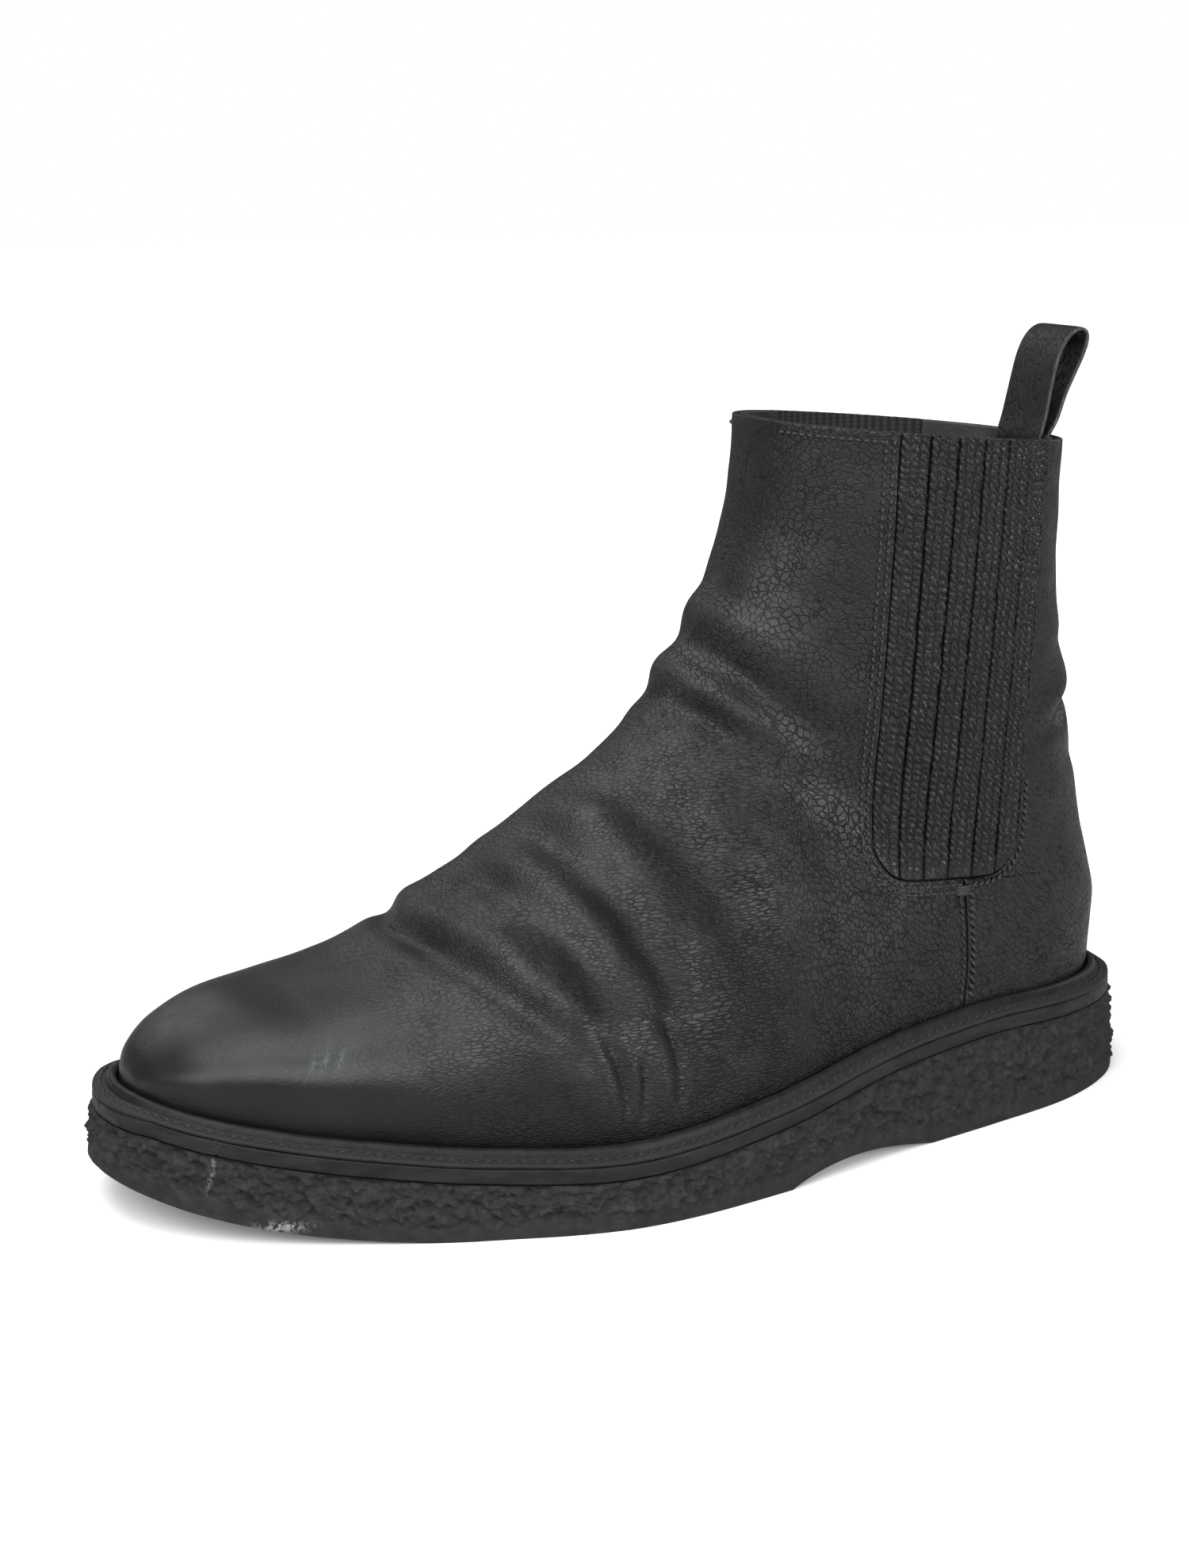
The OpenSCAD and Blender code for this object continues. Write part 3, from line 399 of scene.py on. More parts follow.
def wall_normals(y, z, side, reach):
    """Normals of the side walls, from the slopes of the surface itself."""
    dy = skin(y + reach, z, side)[..., 0] - skin(y - reach, z, side)[..., 0]
    dz = skin(y, z + reach, side)[..., 0] - skin(y, z - reach, side)[..., 0]
    normals = np.stack([np.full_like(dy, 2 * reach), -dy, -dz], -1)
    return unit(normals * np.asarray(side)[..., None])


def side_normals(g):
    """Normals of a grid, which on the side walls come from the surface itself."""
    n = unit(np.cross(np.gradient(g, axis=0), np.gradient(g, axis=1)))
    x, y, z = np.moveaxis(g, -1, 0)
    wall = wall_normals(y, z, np.where(x > 0, OUTER, INNER), WALL_REACH)
    w = smooth(*WALL_FROM_X, np.abs(x)) * smooth(*WALL_FROM_Y, y)
    return unit(mix(n, wall, w[..., None]))


# ------------------------------------------------------------------ folds and unevenness

def perlin(points, size, offset, octaves=1):
    """Perlin noise at points, with lumps of about the given size."""
    flat = points.reshape(-1, 3) / size + offset
    if octaves == 1:
        values = [noise.noise(p) for p in flat]
    else:
        values = [noise.fractal(p, 1.0, 2.0, octaves) for p in flat]
    return np.array(values).reshape(points.shape[:-1])


# Creases of the leather: depth, width, height of the bulge before and behind it, share of
# its depth on the ridge, how far it runs down the inner side, its ends (y, z) on the ridge
# and low on the outer side, and how far it bows forwards between them
CREASES = [
    (1.8, 3.6, 1.5, 0.7, 1.25, 0.8, (-75, 66), (-38, 34), -1.0),
    (3.3, 6.0, 1.5, 2.3, 0.15, 0.7, (-56, 81), (-38, 26), -9.0),
    (3.8, 6.8, 1.7, 2.6, 0.15, 0.9, (-42, 90), (-22, 30), -8.0),
    (1.3, 6.0, 0.6, 0.8, 0.20, 1.0, (-26, 104), (-4, 60), -6.0),
    (1.7, 1.4, 0.5, 0.6, 1.00, 0.0, (-42, 48), (-36, 25), -1.0),
    (1.8, 1.5, 0.5, 0.6, 1.00, 0.0, (-25, 50), (-22, 24), -1.5),
    (1.2, 1.2, 0.3, 0.3, 1.00, 0.0, (-32, 42), (-33, 22), -0.5),
    (3.3, 5.0, 1.6, 2.7, 0.50, 0.9, (3, 134), (40, 103), 0.0),
    (2.1, 4.2, 0.8, 1.3, 0.30, 0.9, (-8, 119), (26, 98), -2.5),
    (0.7, 3.2, 0.3, 0.4, 0.40, 0.9, (12, 147), (29, 131), 0.0),
    (1.9, 3.0, 0.5, 1.2, 1.00, 1.0, (122, 112), (94, 101), -2.0),
    (0.5, 3.0, 0.2, 0.2, 1.00, 1.0, (120, 126), (101, 121), 0.0),
    (0.5, 3.4, 0.2, 0.3, 1.00, 1.0, (127, 92), (104, 92), 1.0),
]
CREASE_STEPS = 8
INNER_SHIFT = (2.5, 1.5)
CREASE_FADE = (0.26, 0.75)
FLANK_AT, FLANK_WIDTH = 1.9, 1.3
RIDGE_CALM_OUTER, RIDGE_CALM_INNER = (0, 16.0), (22.0, 45.0)

# Broad bulges on the outer side: place (y, z), radius and height
BULGES = [((14, 80), 17.0, 3.4), ((-24, 66), 9.0, 1.0), ((14, 122), 14.0, 1.8)]
BULGE_FROM_X = (5, 25)

TOE_CALM_Y, TOE_CALM = (-70, -105), 0.35


def crease_line(start, end, bow, inner_share):
    """Points of a crease, from low on the outer side over the ridge to the inner side."""
    t = np.linspace(0, 1, CREASE_STEPS)
    run = np.subtract(end, start) / math.dist(start, end)
    bend = bow * np.sin(math.pi * t)
    y = mix(start[0], end[0], t) + bend * run[1]
    z = mix(start[1], end[1], t) - bend * run[0]
    inner = skin(y + INNER_SHIFT[0] * t, z + INNER_SHIFT[1], INNER)
    return np.vstack([skin(y, z, OUTER)[::-1], inner[1:round(inner_share * CREASE_STEPS)]])


def crease_depth(points, normals):
    """Height of the folds along the normals at points."""
    flat, n = points.reshape(-1, 3), normals.reshape(-1, 3)
    x, y, z = flat.T
    total, signed, along = np.zeros((3, len(flat)))
    off_ridge = smooth(*RIDGE_CALM_OUTER, x) + smooth(*RIDGE_CALM_INNER, -x)
    for k, (depth, width, before, behind, on_ridge, inner_share, *ends) in enumerate(CREASES):
        line = crease_line(*ends, inner_share)
        near = np.full(len(flat), np.inf)
        lengths = np.linalg.norm(np.diff(line, axis=0), axis=1)
        starts = np.concatenate([[0], np.cumsum(lengths)])
        for a, b, length, start in zip(line, line[1:], lengths, starts):
            d = (b - a) / length
            t = np.clip((flat - a) @ d, 0, length)
            gap = flat - (a + t[:, None] * d)
            r = np.linalg.norm(gap, axis=1)
            closer = r < near
            side = np.sign(np.einsum("ij,ij->i", np.cross(n, d), gap))
            near = np.where(closer, r, near)
            signed = np.where(closer, r * side, signed)
            along = np.where(closer, (start + t) / starts[-1], along)
        taper = smooth(0, CREASE_FADE[0], along) * smooth(1, CREASE_FADE[1], along)
        wander = 0.75 + 0.5 * perlin(flat, 14, 7.0 * k)
        s = signed / width
        total += mix(on_ridge, 1.0, off_ridge) * taper * wander * (
            -depth * np.exp(-(s**2))
            + before * np.exp(-((s + FLANK_AT) / FLANK_WIDTH) ** 2)
            + behind * np.exp(-((s - FLANK_AT) / FLANK_WIDTH) ** 2)
        )
    for (mid_y, mid_z), radius, height in BULGES:
        away = ((y - mid_y) ** 2 + (z - mid_z) ** 2) / radius**2
        total += height * smooth(*BULGE_FROM_X, x) * np.exp(-away)
    return total.reshape(points.shape[:-1])


def unevenness(points):
    """Low, soft waves that keep the leather from looking moulded."""
    wave = 0.5 * perlin(points, 22, 3.0) + 0.28 * perlin(points, 9, 11.0)
    return wave * mix(1.0, TOE_CALM, smooth(*TOE_CALM_Y, points[..., 1]))


# ------------------------------------------------------------------ making objects

def in_scene(name, data):
    obj = bpy.data.objects.new(name, data)
    bpy.context.scene.collection.objects.link(obj)
    return obj


def add_object(name, points, faces, material, slot, stands_for, marks=None, merge=0.0,
               blend=None):
    """A mesh piece from points in millimetres, riding on the boot, or left unattached to it when
    blend is given.
    """
    mesh = bpy.data.meshes.new(name)
    mesh.from_pydata((np.asarray(points).reshape(-1, 3) * MM).tolist(), [], faces)
    for key, values in (marks or {}).items():
        layer = mesh.attributes.new(key, "FLOAT", "POINT")
        layer.data.foreach_set("value", np.asarray(values, np.float32).ravel())
    if merge:
        bm = bmesh.new()
        bm.from_mesh(mesh)
        bmesh.ops.remove_doubles(bm, verts=bm.verts, dist=merge * MM)
        bm.to_mesh(mesh)
        bm.free()
    mesh.polygons.foreach_set("use_smooth", [True] * len(mesh.polygons))
    mesh.update()
    mesh.materials.append(material)
    obj = in_scene(name, mesh)
    if blend:
        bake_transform(obj)
    else:
        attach(obj, "boot")
    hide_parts(*stands_for)


def join(parts):
    """Points and faces of several parts as one."""
    points, faces, start = [], [], 0
    for part_points, part_faces in parts:
        points.append(part_points)
        faces += [[start + i for i in face] for face in part_faces]
        start += len(part_points)
    return np.concatenate(points), faces


def grid_faces(rows, cols, start=0, flip=False, closed=False):
    """Quads of a grid of points, which may close on itself along its columns."""
    last = cols if closed else cols - 1
    i, j = np.meshgrid(np.arange(rows - 1), np.arange(last), indexing="ij")
    k = (j + 1) % cols
    quads = np.stack([i * cols + j, i * cols + k, (i + 1) * cols + k, (i + 1) * cols + j], -1)
    quads = quads.reshape(-1, 4) + start
    return (quads[:, ::-1] if flip else quads).tolist()


def tube_faces(rows, sides):
    """Faces of a closed tube of rings, with a flat face at each end."""
    ends = [list(range(sides)), list(range(rows * sides - 1, (rows - 1) * sides - 1, -1))]
    return grid_faces(rows, sides, flip=True, closed=True) + ends


def shell_faces(rows, cols):
    """Quads of the closed solid between two grids that follow each other."""
    size = rows * cols
    faces = grid_faces(rows, cols) + grid_faces(rows, cols, size, flip=True)
    for i in range(rows - 1):
        for j in (0, cols - 1):
            p, q = i * cols + j, (i + 1) * cols + j
            quad = [p, q, size + q, size + p]
            faces.append(quad if j == 0 else quad[::-1])
    for j in range(cols - 1):
        for i in (0, rows - 1):
            p, q = i * cols + j, i * cols + j + 1
            quad = [q, p, size + p, size + q]
            faces.append(quad if i == 0 else quad[::-1])
    return faces


def edge_distance(g, first_row):
    """Distance of grid points from the nearest free edge, which the first row may be."""
    across = np.linalg.norm(np.diff(g, axis=1), axis=2)
    along = np.linalg.norm(np.diff(g, axis=0), axis=2)
    zero_col, zero_row = np.zeros((len(g), 1)), np.zeros((1, g.shape[1]))
    left = np.hstack([zero_col, np.cumsum(across, 1)])
    right = np.hstack([np.cumsum(across[:, ::-1], 1)[:, ::-1], zero_col])
    top = np.vstack([np.cumsum(along[::-1], 0)[::-1], zero_row])
    near = np.minimum(np.minimum(left, right), top)
    if first_row:
        near = np.minimum(near, np.vstack([zero_row, np.cumsum(along, 0)]))
    return near


def rounded(distance, radius):
    """How far a surface drops near an edge of the given radius."""
    inside = np.clip(radius - distance, 0, radius)
    return radius - np.sqrt(radius**2 - inside**2)


# ------------------------------------------------------------------ materials

class Shader:
    """A material and short calls that add nodes to it."""

    def __init__(self, name, rough=0.5, specular=0.5):
        self.material = bpy.data.materials.new(name)
        self.material.use_nodes = True
        self.tree = self.material.node_tree
        self.bsdf = self.tree.nodes["Principled BSDF"]
        self.bsdf.inputs["Roughness"].default_value = rough
        self.bsdf.inputs["Specular IOR Level"].default_value = specular
        self.place = self.node("TexCoord").outputs["Object"]

    def node(self, kind, settings=None, **inputs):
        made = self.tree.nodes.new("ShaderNode" + kind)
        for key, value in (settings or {}).items():
            setattr(made, key, value)
        for key, value in inputs.items():
            self.plug(made.inputs[key.replace("_", " ")], value)
        return made

    def plug(self, socket, value):
        if isinstance(value, bpy.types.NodeSocket):
            self.tree.links.new(value, socket)
        else:
            socket.default_value = value

    def apply(self, kind, operation, a, b):
        made = self.node(kind, {"operation": operation})
        self.plug(made.inputs[0], a)
        self.plug(made.inputs[1], b)
        return made.outputs[0]

    def times(self, a, b):
        return self.apply("Math", "MULTIPLY", a, b)

    def plus(self, a, b):
        return self.apply("Math", "ADD", a, b)

    def minus(self, a, b):
        return self.apply("Math", "SUBTRACT", a, b)

    def stretch(self, scale):
        """The place with each axis scaled, so that patterns come out longer or shorter."""
        return self.apply("VectorMath", "MULTIPLY", self.place, scale)

    def bent(self, place, size_mm, amount_mm):
        """A place moved about by noise, so that patterns on it aren't regular."""
        cloud = self.node("TexNoise", Vector=place, Scale=1 / (size_mm * MM), Detail=2.0)
        shift = self.apply("VectorMath", "SUBTRACT", cloud.outputs["Color"], (0.5, 0.5, 0.5))
        shift = self.apply("VectorMath", "MULTIPLY", shift, (2 * amount_mm * MM,) * 3)
        return self.apply("VectorMath", "ADD", place, shift)

    def noise(self, size_mm, detail=3.0, place=None, rough=0.55):
        made = self.node("TexNoise", Vector=place or self.place, Scale=1 / (size_mm * MM),
                         Detail=detail, Roughness=rough)
        return made.outputs["Fac"]

    def cells(self, size_mm, feature="F1", place=None, output="Distance"):
        made = self.node("TexVoronoi", {"feature": feature}, Vector=place or self.place,
                         Scale=1 / (size_mm * MM))
        return made.outputs[output]

    def net(self, size_mm, place, width):
        """A net of lines round cells, where it is 0, and 1 inside the cells."""
        return self.ramp(self.cells(size_mm, "DISTANCE_TO_EDGE", place), 0.0, width)

    def ribs(self, axis, pitch_mm, distortion, detail=1.0, place=None):
        made = self.node("TexWave", {"bands_direction": axis}, Vector=place or self.place,
                         Scale=1 / (pitch_mm * MM), Distortion=distortion, Detail=detail)
        return made.outputs["Fac"]

    def ramp(self, value, low, high, to_low=0.0, to_high=1.0):
        made = self.node("MapRange", {"interpolation_type": "SMOOTHSTEP"}, Value=value,
                         From_Min=low, From_Max=high, To_Min=to_low, To_Max=to_high)
        return made.outputs["Result"]

    def blend(self, share, a, b):
        made = self.node("Mix", {"data_type": "RGBA"})
        self.plug(made.inputs["Factor"], share)
        for socket, value in ((made.inputs[6], a), (made.inputs[7], b)):
            self.plug(socket, (*value, 1) if isinstance(value, tuple) else value)
        return made.outputs[2]

    def mottled(self, cloud, dark, light):
        return self.blend(self.ramp(cloud, 0.3, 0.7), dark, light)

    def tint(self, color, share, strength, tone):
        """A colour with another one laid over part of it."""
        return self.blend(self.times(share, strength), color, tone)

    def mark(self, name):
        return self.node("Attribute", {"attribute_name": name}).outputs["Fac"]

    def patches(self, name, cloud, low, high):
        """A mark of the mesh, broken up by noise."""
        return self.times(self.mark(name), self.ramp(cloud, low, high))

    def bump(self, height, depth_mm, under=None):
        made = self.node("Bump", Height=height, Distance=depth_mm * MM)
        if under is not None:
            self.plug(made.inputs["Normal"], under)
        return made.outputs["Normal"]

    def finish(self, color, rough=None, normal=None):
        for name, value in (("Base Color", color), ("Roughness", rough), ("Normal", normal)):
            if value is not None:
                self.plug(self.bsdf.inputs[name], value)
        return self.material


LEATHER_SHINE = 0.36


def grain_leather(name, tones, cell_mm, depth_mm, rough, scuffed=False, upright=1.0,
                  worn_edge=False):
    """Aniline leather: a net of fine cracks, drawn out lengthwise where it folds."""
    s = Shader(name, specular=0.4)
    place = s.bent(s.stretch((1.0, 1.0, upright)), 6 * cell_mm, 1.3 * cell_mm)
    place = s.bent(place, 1.2 * cell_mm, 0.3 * cell_mm)
    net = s.net(cell_mm, place, 0.13)
    fine = s.net(0.45 * cell_mm, place, 0.2)
    uneven = s.ramp(s.noise(7, 2.0), 0.3, 0.7, 0.6, 1.0)
    if scuffed:
        lines = s.net(0.6 * cell_mm, s.bent(s.stretch((0.9, 0.34, 1.3)), 9, 1.3), 0.18)
        drawn = s.mark("drawn")
        net = s.plus(s.times(net, s.minus(1.0, drawn)), s.times(lines, drawn))
        uneven = s.times(uneven, s.mark("grain"))
    crack = s.times(s.minus(1.0, net), uneven)
    groove = s.plus(crack, s.times(s.minus(1.0, fine), s.times(uneven, 0.3)))
    normal = s.bump(s.noise(0.5, 3.0), 0.012, s.bump(s.minus(1.0, groove), depth_mm))
    color = s.mottled(s.noise(18, 3.0), *tones)
    # Painted shade: the colour is darker in the cracks of the grain, where shade falls, and the
    # shine is cut there too
    color = s.tint(color, crack, 0.6, tuple(0.3 * c for c in tones[0]))
    shine = s.minus(LEATHER_SHINE, s.times(crack, 0.5 * LEATHER_SHINE))
    s.plug(s.bsdf.inputs["Specular IOR Level"], shine)
    dull = s.plus(s.times(s.noise(5, 4.0), 0.2), rough - 0.1)
    dull = s.plus(dull, s.times(groove, 0.25))
    if scuffed:
        # Lighter on the crests of the folds: partly wear, partly a painted highlight on the
        # crests
        worn = s.patches("crest_wear_and_highlight", s.noise(1.6, 5.0), 0.45, 0.7)
        color = s.tint(color, worn, 0.12, (0.10, 0.097, 0.095))
        streaks = s.noise(0.9, 5.0, s.stretch((1.0, 1.6, 0.3)), 0.75)
        paint = s.patches("scuff", streaks, 0.44, 0.56)
        color = s.tint(color, paint, 0.7, (0.085, 0.118, 0.108))
        dull = s.plus(dull, s.times(paint, 0.3))
    if worn_edge:
        color = s.tint(color, s.mark("edge"), 0.7, (0.055, 0.053, 0.052))
    return s.finish(color, dull, normal)


def smooth_leather(name, dark, light, rough):
    s = Shader(name)
    color = s.mottled(s.noise(9, 4.0), dark, light)
    pores = s.ramp(s.cells(0.9), 0.0, 0.35)
    normal = s.bump(pores, 0.03, s.bump(s.noise(5, 4.0), 0.25))
    return s.finish(color, s.ramp(s.noise(3, 4.0), 0.2, 0.8, rough - 0.1, rough + 0.1), normal)


def crepe_rubber():
    """Crumbly crepe rubber, smoother along its lowest edge."""
    s = Shader("crepe_rubber", specular=0.2)
    rough_zone = s.mark("rough")
    lumps = s.noise(2.4, 4.0, rough=0.6)
    pits = s.ramp(s.cells(2.6, "F1", s.bent(s.place, 3.0, 1.0)), 0.15, 0.6)
    grit = s.plus(s.times(lumps, 0.8), s.times(pits, 0.3))
    height = s.times(grit, s.plus(0.25, s.times(rough_zone, 0.75)))
    color = s.mottled(s.noise(3.5, 4.0), (0.017, 0.017, 0.0172), (0.024, 0.0238, 0.0236))
    dust = s.times(s.ramp(lumps, 0.5, 0.7), rough_zone)
    color = s.tint(color, dust, 0.35, (0.045, 0.045, 0.044))
    chalk = s.patches("chalk", s.noise(1.1, 4.0), 0.45, 0.55)
    color = s.tint(color, chalk, 0.7, (0.36, 0.36, 0.35))
    return s.finish(color, s.ramp(lumps, 0.3, 0.7, 0.92, 0.7), s.bump(height, 0.7))


def smooth_rubber():
    s = Shader("midsole_rubber", specular=0.16)
    smear = s.noise(7, 4.0, s.stretch((0.6, 0.6, 2.5)))
    color = s.blend(s.ramp(smear, 0.35, 0.7), (0.011, 0.0112, 0.012), (0.020, 0.0202, 0.0215))
    scuff = s.ramp(s.noise(1.4, 5.0, s.stretch((0.4, 0.4, 3.0)), 0.7), 0.6, 0.72)
    color = s.tint(color, scuff, 0.3, (0.05, 0.05, 0.051))
    chalk = s.patches("chalk", s.noise(0.9, 4.0), 0.45, 0.55)
    color = s.tint(color, chalk, 0.4, (0.25, 0.25, 0.24))
    normal = s.bump(s.noise(0.7, 4.0), 0.05, s.bump(smear, 0.2))
    return s.finish(color, s.ramp(s.noise(2.2, 4.0), 0.3, 0.7, 0.42, 0.62), normal)


def welt_leather():
    s = Shader("welt_leather", specular=0.16)
    speck = s.noise(0.8, 5.0, rough=0.7)
    color = s.mottled(s.noise(6, 3.0), (0.009, 0.0085, 0.0085), (0.015, 0.014, 0.0135))
    dust = s.times(s.mark("dust"), s.ramp(speck, 0.35, 0.65, 0.35, 1.0))
    color = s.blend(dust, color, (0.028, 0.0262, 0.0242))
    normal = s.bump(speck, 0.07, s.bump(s.noise(3, 3.0), 0.2))
    return s.finish(color, s.plus(0.42, s.times(dust, 0.45)), normal)


def thread_fabric(name, light):
    s = Shader(name, specular=0.4)
    twist = s.ribs("DIAGONAL", 1.6, 1.5, 2.0, s.bent(s.place, 2, 0.1))
    color = s.blend(twist, (0.008, 0.008, 0.0085), (light, light, light))
    return s.finish(color, 0.6, s.bump(twist, 0.08))


def elastic_fabric():
    s = Shader("elastic_webbing", specular=0.3)
    weft = s.plus(0.6, s.times(s.ribs("Z", 4.0, 0.6), 0.4))
    weave = s.times(s.ribs("Y", 7.0, 0.4), weft)
    return s.finish(s.blend(weave, (0.008, 0.008, 0.009), (0.03, 0.03, 0.032)), 0.85,
                    s.bump(weave, 0.2))


def pressed_board(name, dark, light, size_mm):
    """Fibre board, felt or cork: flakes of uneven tone."""
    s = Shader(name, specular=0.2)
    flakes = s.cells(size_mm, "F1", s.bent(s.place, 3 * size_mm, size_mm), "Color")
    tone = s.plus(s.times(flakes, 0.6), s.times(s.noise(0.6 * size_mm), 0.4))
    height = s.cells(size_mm, "DISTANCE_TO_EDGE")
    return s.finish(s.blend(tone, dark, light), 0.9, s.bump(height, 0.15))


def spring_steel():
    s = Shader("spring_steel", rough=0.3)
    s.bsdf.inputs["Metallic"].default_value = 1.0
    lines = s.noise(0.5, 4.0, s.stretch((1.0, 0.05, 1.0)))
    color = s.blend(lines, (0.42, 0.43, 0.45), (0.62, 0.63, 0.65))
    return s.finish(color, s.ramp(lines, 0.2, 0.8, 0.25, 0.45), s.bump(lines, 0.02))


BLACK = ((0.0050, 0.0050, 0.0056), (0.0078, 0.0078, 0.0085))
TAB_BLACK = ((0.007, 0.007, 0.0074), (0.011, 0.0105, 0.0108))
UPPER = grain_leather("upper_leather", BLACK, 1.8, 0.13, 0.38, scuffed=True)
PLEAT = grain_leather("pleat_leather", BLACK, 1.3, 0.06, 0.30)
TAB = grain_leather("tab_leather", TAB_BLACK, 1.5, 0.16, 0.42, upright=0.22, worn_edge=True)
LINING = smooth_leather("lining_leather", (0.012, 0.011, 0.0105), (0.02, 0.018, 0.017), 0.6)
SOCK = smooth_leather("sock_leather", (0.016, 0.014, 0.013), (0.026, 0.024, 0.021), 0.55)
CREPE = crepe_rubber()
BAND = smooth_rubber()
WELT = welt_leather()
THREAD = thread_fabric("waxed_thread", 0.040)
WELT_THREAD = thread_fabric("dusty_thread", 0.018)
ELASTIC = elastic_fabric()
CORK = pressed_board("cork", (0.32, 0.19, 0.09), (0.62, 0.44, 0.26), 2.5)
BOARD = pressed_board("leatherboard", (0.38, 0.27, 0.16), (0.52, 0.40, 0.27), 1.2)
FELT = pressed_board("stiffener_felt", (0.42, 0.38, 0.31), (0.58, 0.53, 0.45), 0.8)
STEEL = spring_steel()

for node_name, finish in {
    "cork_filler": CORK, "shank": STEEL, "insole_board": BOARD, "heel_pad": SOCK,
    "toe_puff": FELT, "heel_counter": FELT, "topline_tape": ELASTIC,
    "gore_elastic_outer": ELASTIC, "gore_elastic_inner": ELASTIC,
}.items():
    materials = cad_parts[node_name].data.materials
    materials.clear()
    materials.append(finish)


# ------------------------------------------------------------------ upper

CUT_RADIUS, LINING_RADIUS = 0.45, 0.25
INNER_ROUNDING = 0.6
TIP_MERGE = 0.002
HOLD_HEIGHT = 5
WEAR_AND_HIGHLIGHT_AT = 1.5
QUARTER_GRAIN = 0.9


def sheet(node, g, normals, depths, material, slot, closed_tip, radius, marks=None):
    """Closed piece of leather between two depths below a grid, with rounded edges."""
    round_off = rounded(edge_distance(g, not closed_tip), radius)
    outer = g - (depths[0] + round_off)[..., None] * normals
    inner = g - (depths[1] - INNER_ROUNDING * round_off)[..., None] * normals
    marks = {key: np.tile(values.ravel(), 2) for key, values in (marks or {}).items()}
    add_object(f"{node}_leather", np.stack([outer, inner]), shell_faces(*g.shape[:2]),
               material, slot, [node], marks, merge=TIP_MERGE if closed_tip else 0.0)


def folded(g, normals):
    """A grid moved by its folds and unevenness, and the height of the folds."""
    folds = crease_depth(g, normals)
    hold = smooth(0, HOLD_HEIGHT, g[..., 2] - feather_z(g[..., 1]))
    return g + ((folds + unevenness(g)) * hold)[..., None] * normals, folds * hold


def make_leather(node, grid, closed_tip, marks):
    g = grid(SKIRT)
    n = side_normals(g)
    moved, folds = folded(g, n)
    # Height of the fold crests, where the leather is painted lighter: partly wear, partly a
    # painted highlight
    crest_wear_and_highlight = np.clip(folds / WEAR_AND_HIGHLIGHT_AT, 0, 1)
    sheet(node, moved, n, (0.0, LEATHER_T), UPPER, "upper_leather", closed_tip, CUT_RADIUS,
          {"crest_wear_and_highlight": crest_wear_and_highlight, **marks(g)})


def make_lining(node, grid, closed_tip):
    g = grid(LINING_DROP, LINING_FINENESS)
    n = side_normals(g)
    moved, _ = folded(g, n)
    sheet(node, moved, n, (LINING_IN, LINING_OUT), LINING, "lining_leather", closed_tip,
          LINING_RADIUS)


# Streaks of green paint on the toe: y, height of the middle and half length
SCUFFS = [(-107.0, 42.0, 2.4), (-104.0, 43.0, 2.8), (-101.0, 42.6, 2.4)]
SCUFF_LEAN, SCUFF_WIDTH, SCUFF_FROM_X = 0.75, 0.7, 10


def vamp_marks(g):
    """How strong the grain is, where folds draw it out, and where the paint lies."""
    x, y, z = np.moveaxis(g, -1, 0)
    grain = mix(0.12, 0.65, smooth(-112, -62, y)) + 0.35 * smooth(-35, 5, y)
    drawn = smooth(-104, -80, y) * smooth(30, 5, y) * smooth(133.75, 87.5, z)
    paint = sum(
        np.exp(-(((y - at - SCUFF_LEAN * (z - mid)) / SCUFF_WIDTH) ** 2)
               - ((z - mid) / tall) ** 2)
        for at, mid, tall in SCUFFS
    )
    return {"grain": grain, "drawn": drawn, "scuff": np.clip(paint, 0, 1) * (x > SCUFF_FROM_X)}


def quarter_marks(g):
    none = np.zeros(g.shape[:2])
    return {"grain": none + QUARTER_GRAIN, "drawn": none, "scuff": none}


# ------------------------------------------------------------------ gores

SIDES = ((OUTER, "outer"), (INNER, "inner"))
PLEATS, PLEAT_RIBS = 6, 3
PLEAT_ROWS, PLEAT_COLUMNS = 300, 30
PLEAT_GAP, GORE_WIDTH = 0.15, 45
PLEAT_CLEAR, PLEAT_T, PLEAT_EDGE = 0.5, 1.05, 0.06
RIB_PITCH, RIB_HEIGHT = 1.9, 0.8


def make_pleats(side, label):
    """Pleats of thin leather, each gathered into ribs with slanting wrinkles."""
    parts = []
    slit = PLEAT_GAP / GORE_WIDTH / 2
    a = np.linspace(0, 1, PLEAT_ROWS)[:, None]
    c = np.linspace(0, 1, PLEAT_COLUMNS)[None]
    for k in range(PLEATS):
        f = (k + slit * PLEATS + c * (1 - 2 * slit * PLEATS)) / PLEATS
        place, across = gore_place(f, a), c
        place[..., 1] += (1 - a) * PLEAT_CLEAR
        if side == OUTER:
            place, across = place[:, ::-1], c[:, ::-1]
        g = skin(place[..., 0], place[..., 1], side)
        n = side_normals(g)
        wander = perlin(g, 7.0, 5.0 * k + 40 * (side == OUTER))
        small = perlin(g, 1.6, 9.0 * k)
        column = PLEAT_RIBS * across + 0.25 * perlin(g, 4.0, 3.0 * k)
        rib = np.abs(np.sin(math.pi * column))
        step = place[..., 1] / RIB_PITCH + 0.8 * column + 0.5 * np.floor(column) + 0.8 * wander
        knot = np.abs(np.sin(math.pi * step))
        crown = np.sqrt(np.clip(np.minimum(across, 1 - across) / PLEAT_EDGE, 0, 1))
        ribs = rib**0.6 * knot**0.55 + 0.3 * small - 0.45
        height = RIB_HEIGHT * smooth(0.0, PLEAT_EDGE, a) * ribs
        height = height + 0.45 * (crown - 1) + 0.35 * wander
        outer = g + height[..., None] * n
        inner = g - (PLEAT_T - 0.1 * crown)[..., None] * n
        block = np.stack([outer, inner]).reshape(-1, 3)
        parts.append((block, shell_faces(*g.shape[:2])))
    add_object(f"pleats_{label}", *join(parts), PLEAT, "pleat_leather", [f"gore_pleats_{label}"])


# ------------------------------------------------------------------ stitches

STITCH_SIDES, STITCH_STEPS = 7, 7
PITCH, TACK_PITCH, WELT_PITCH = 2.1, 6.0, 2.9
EDGE_SMOOTHING = 6


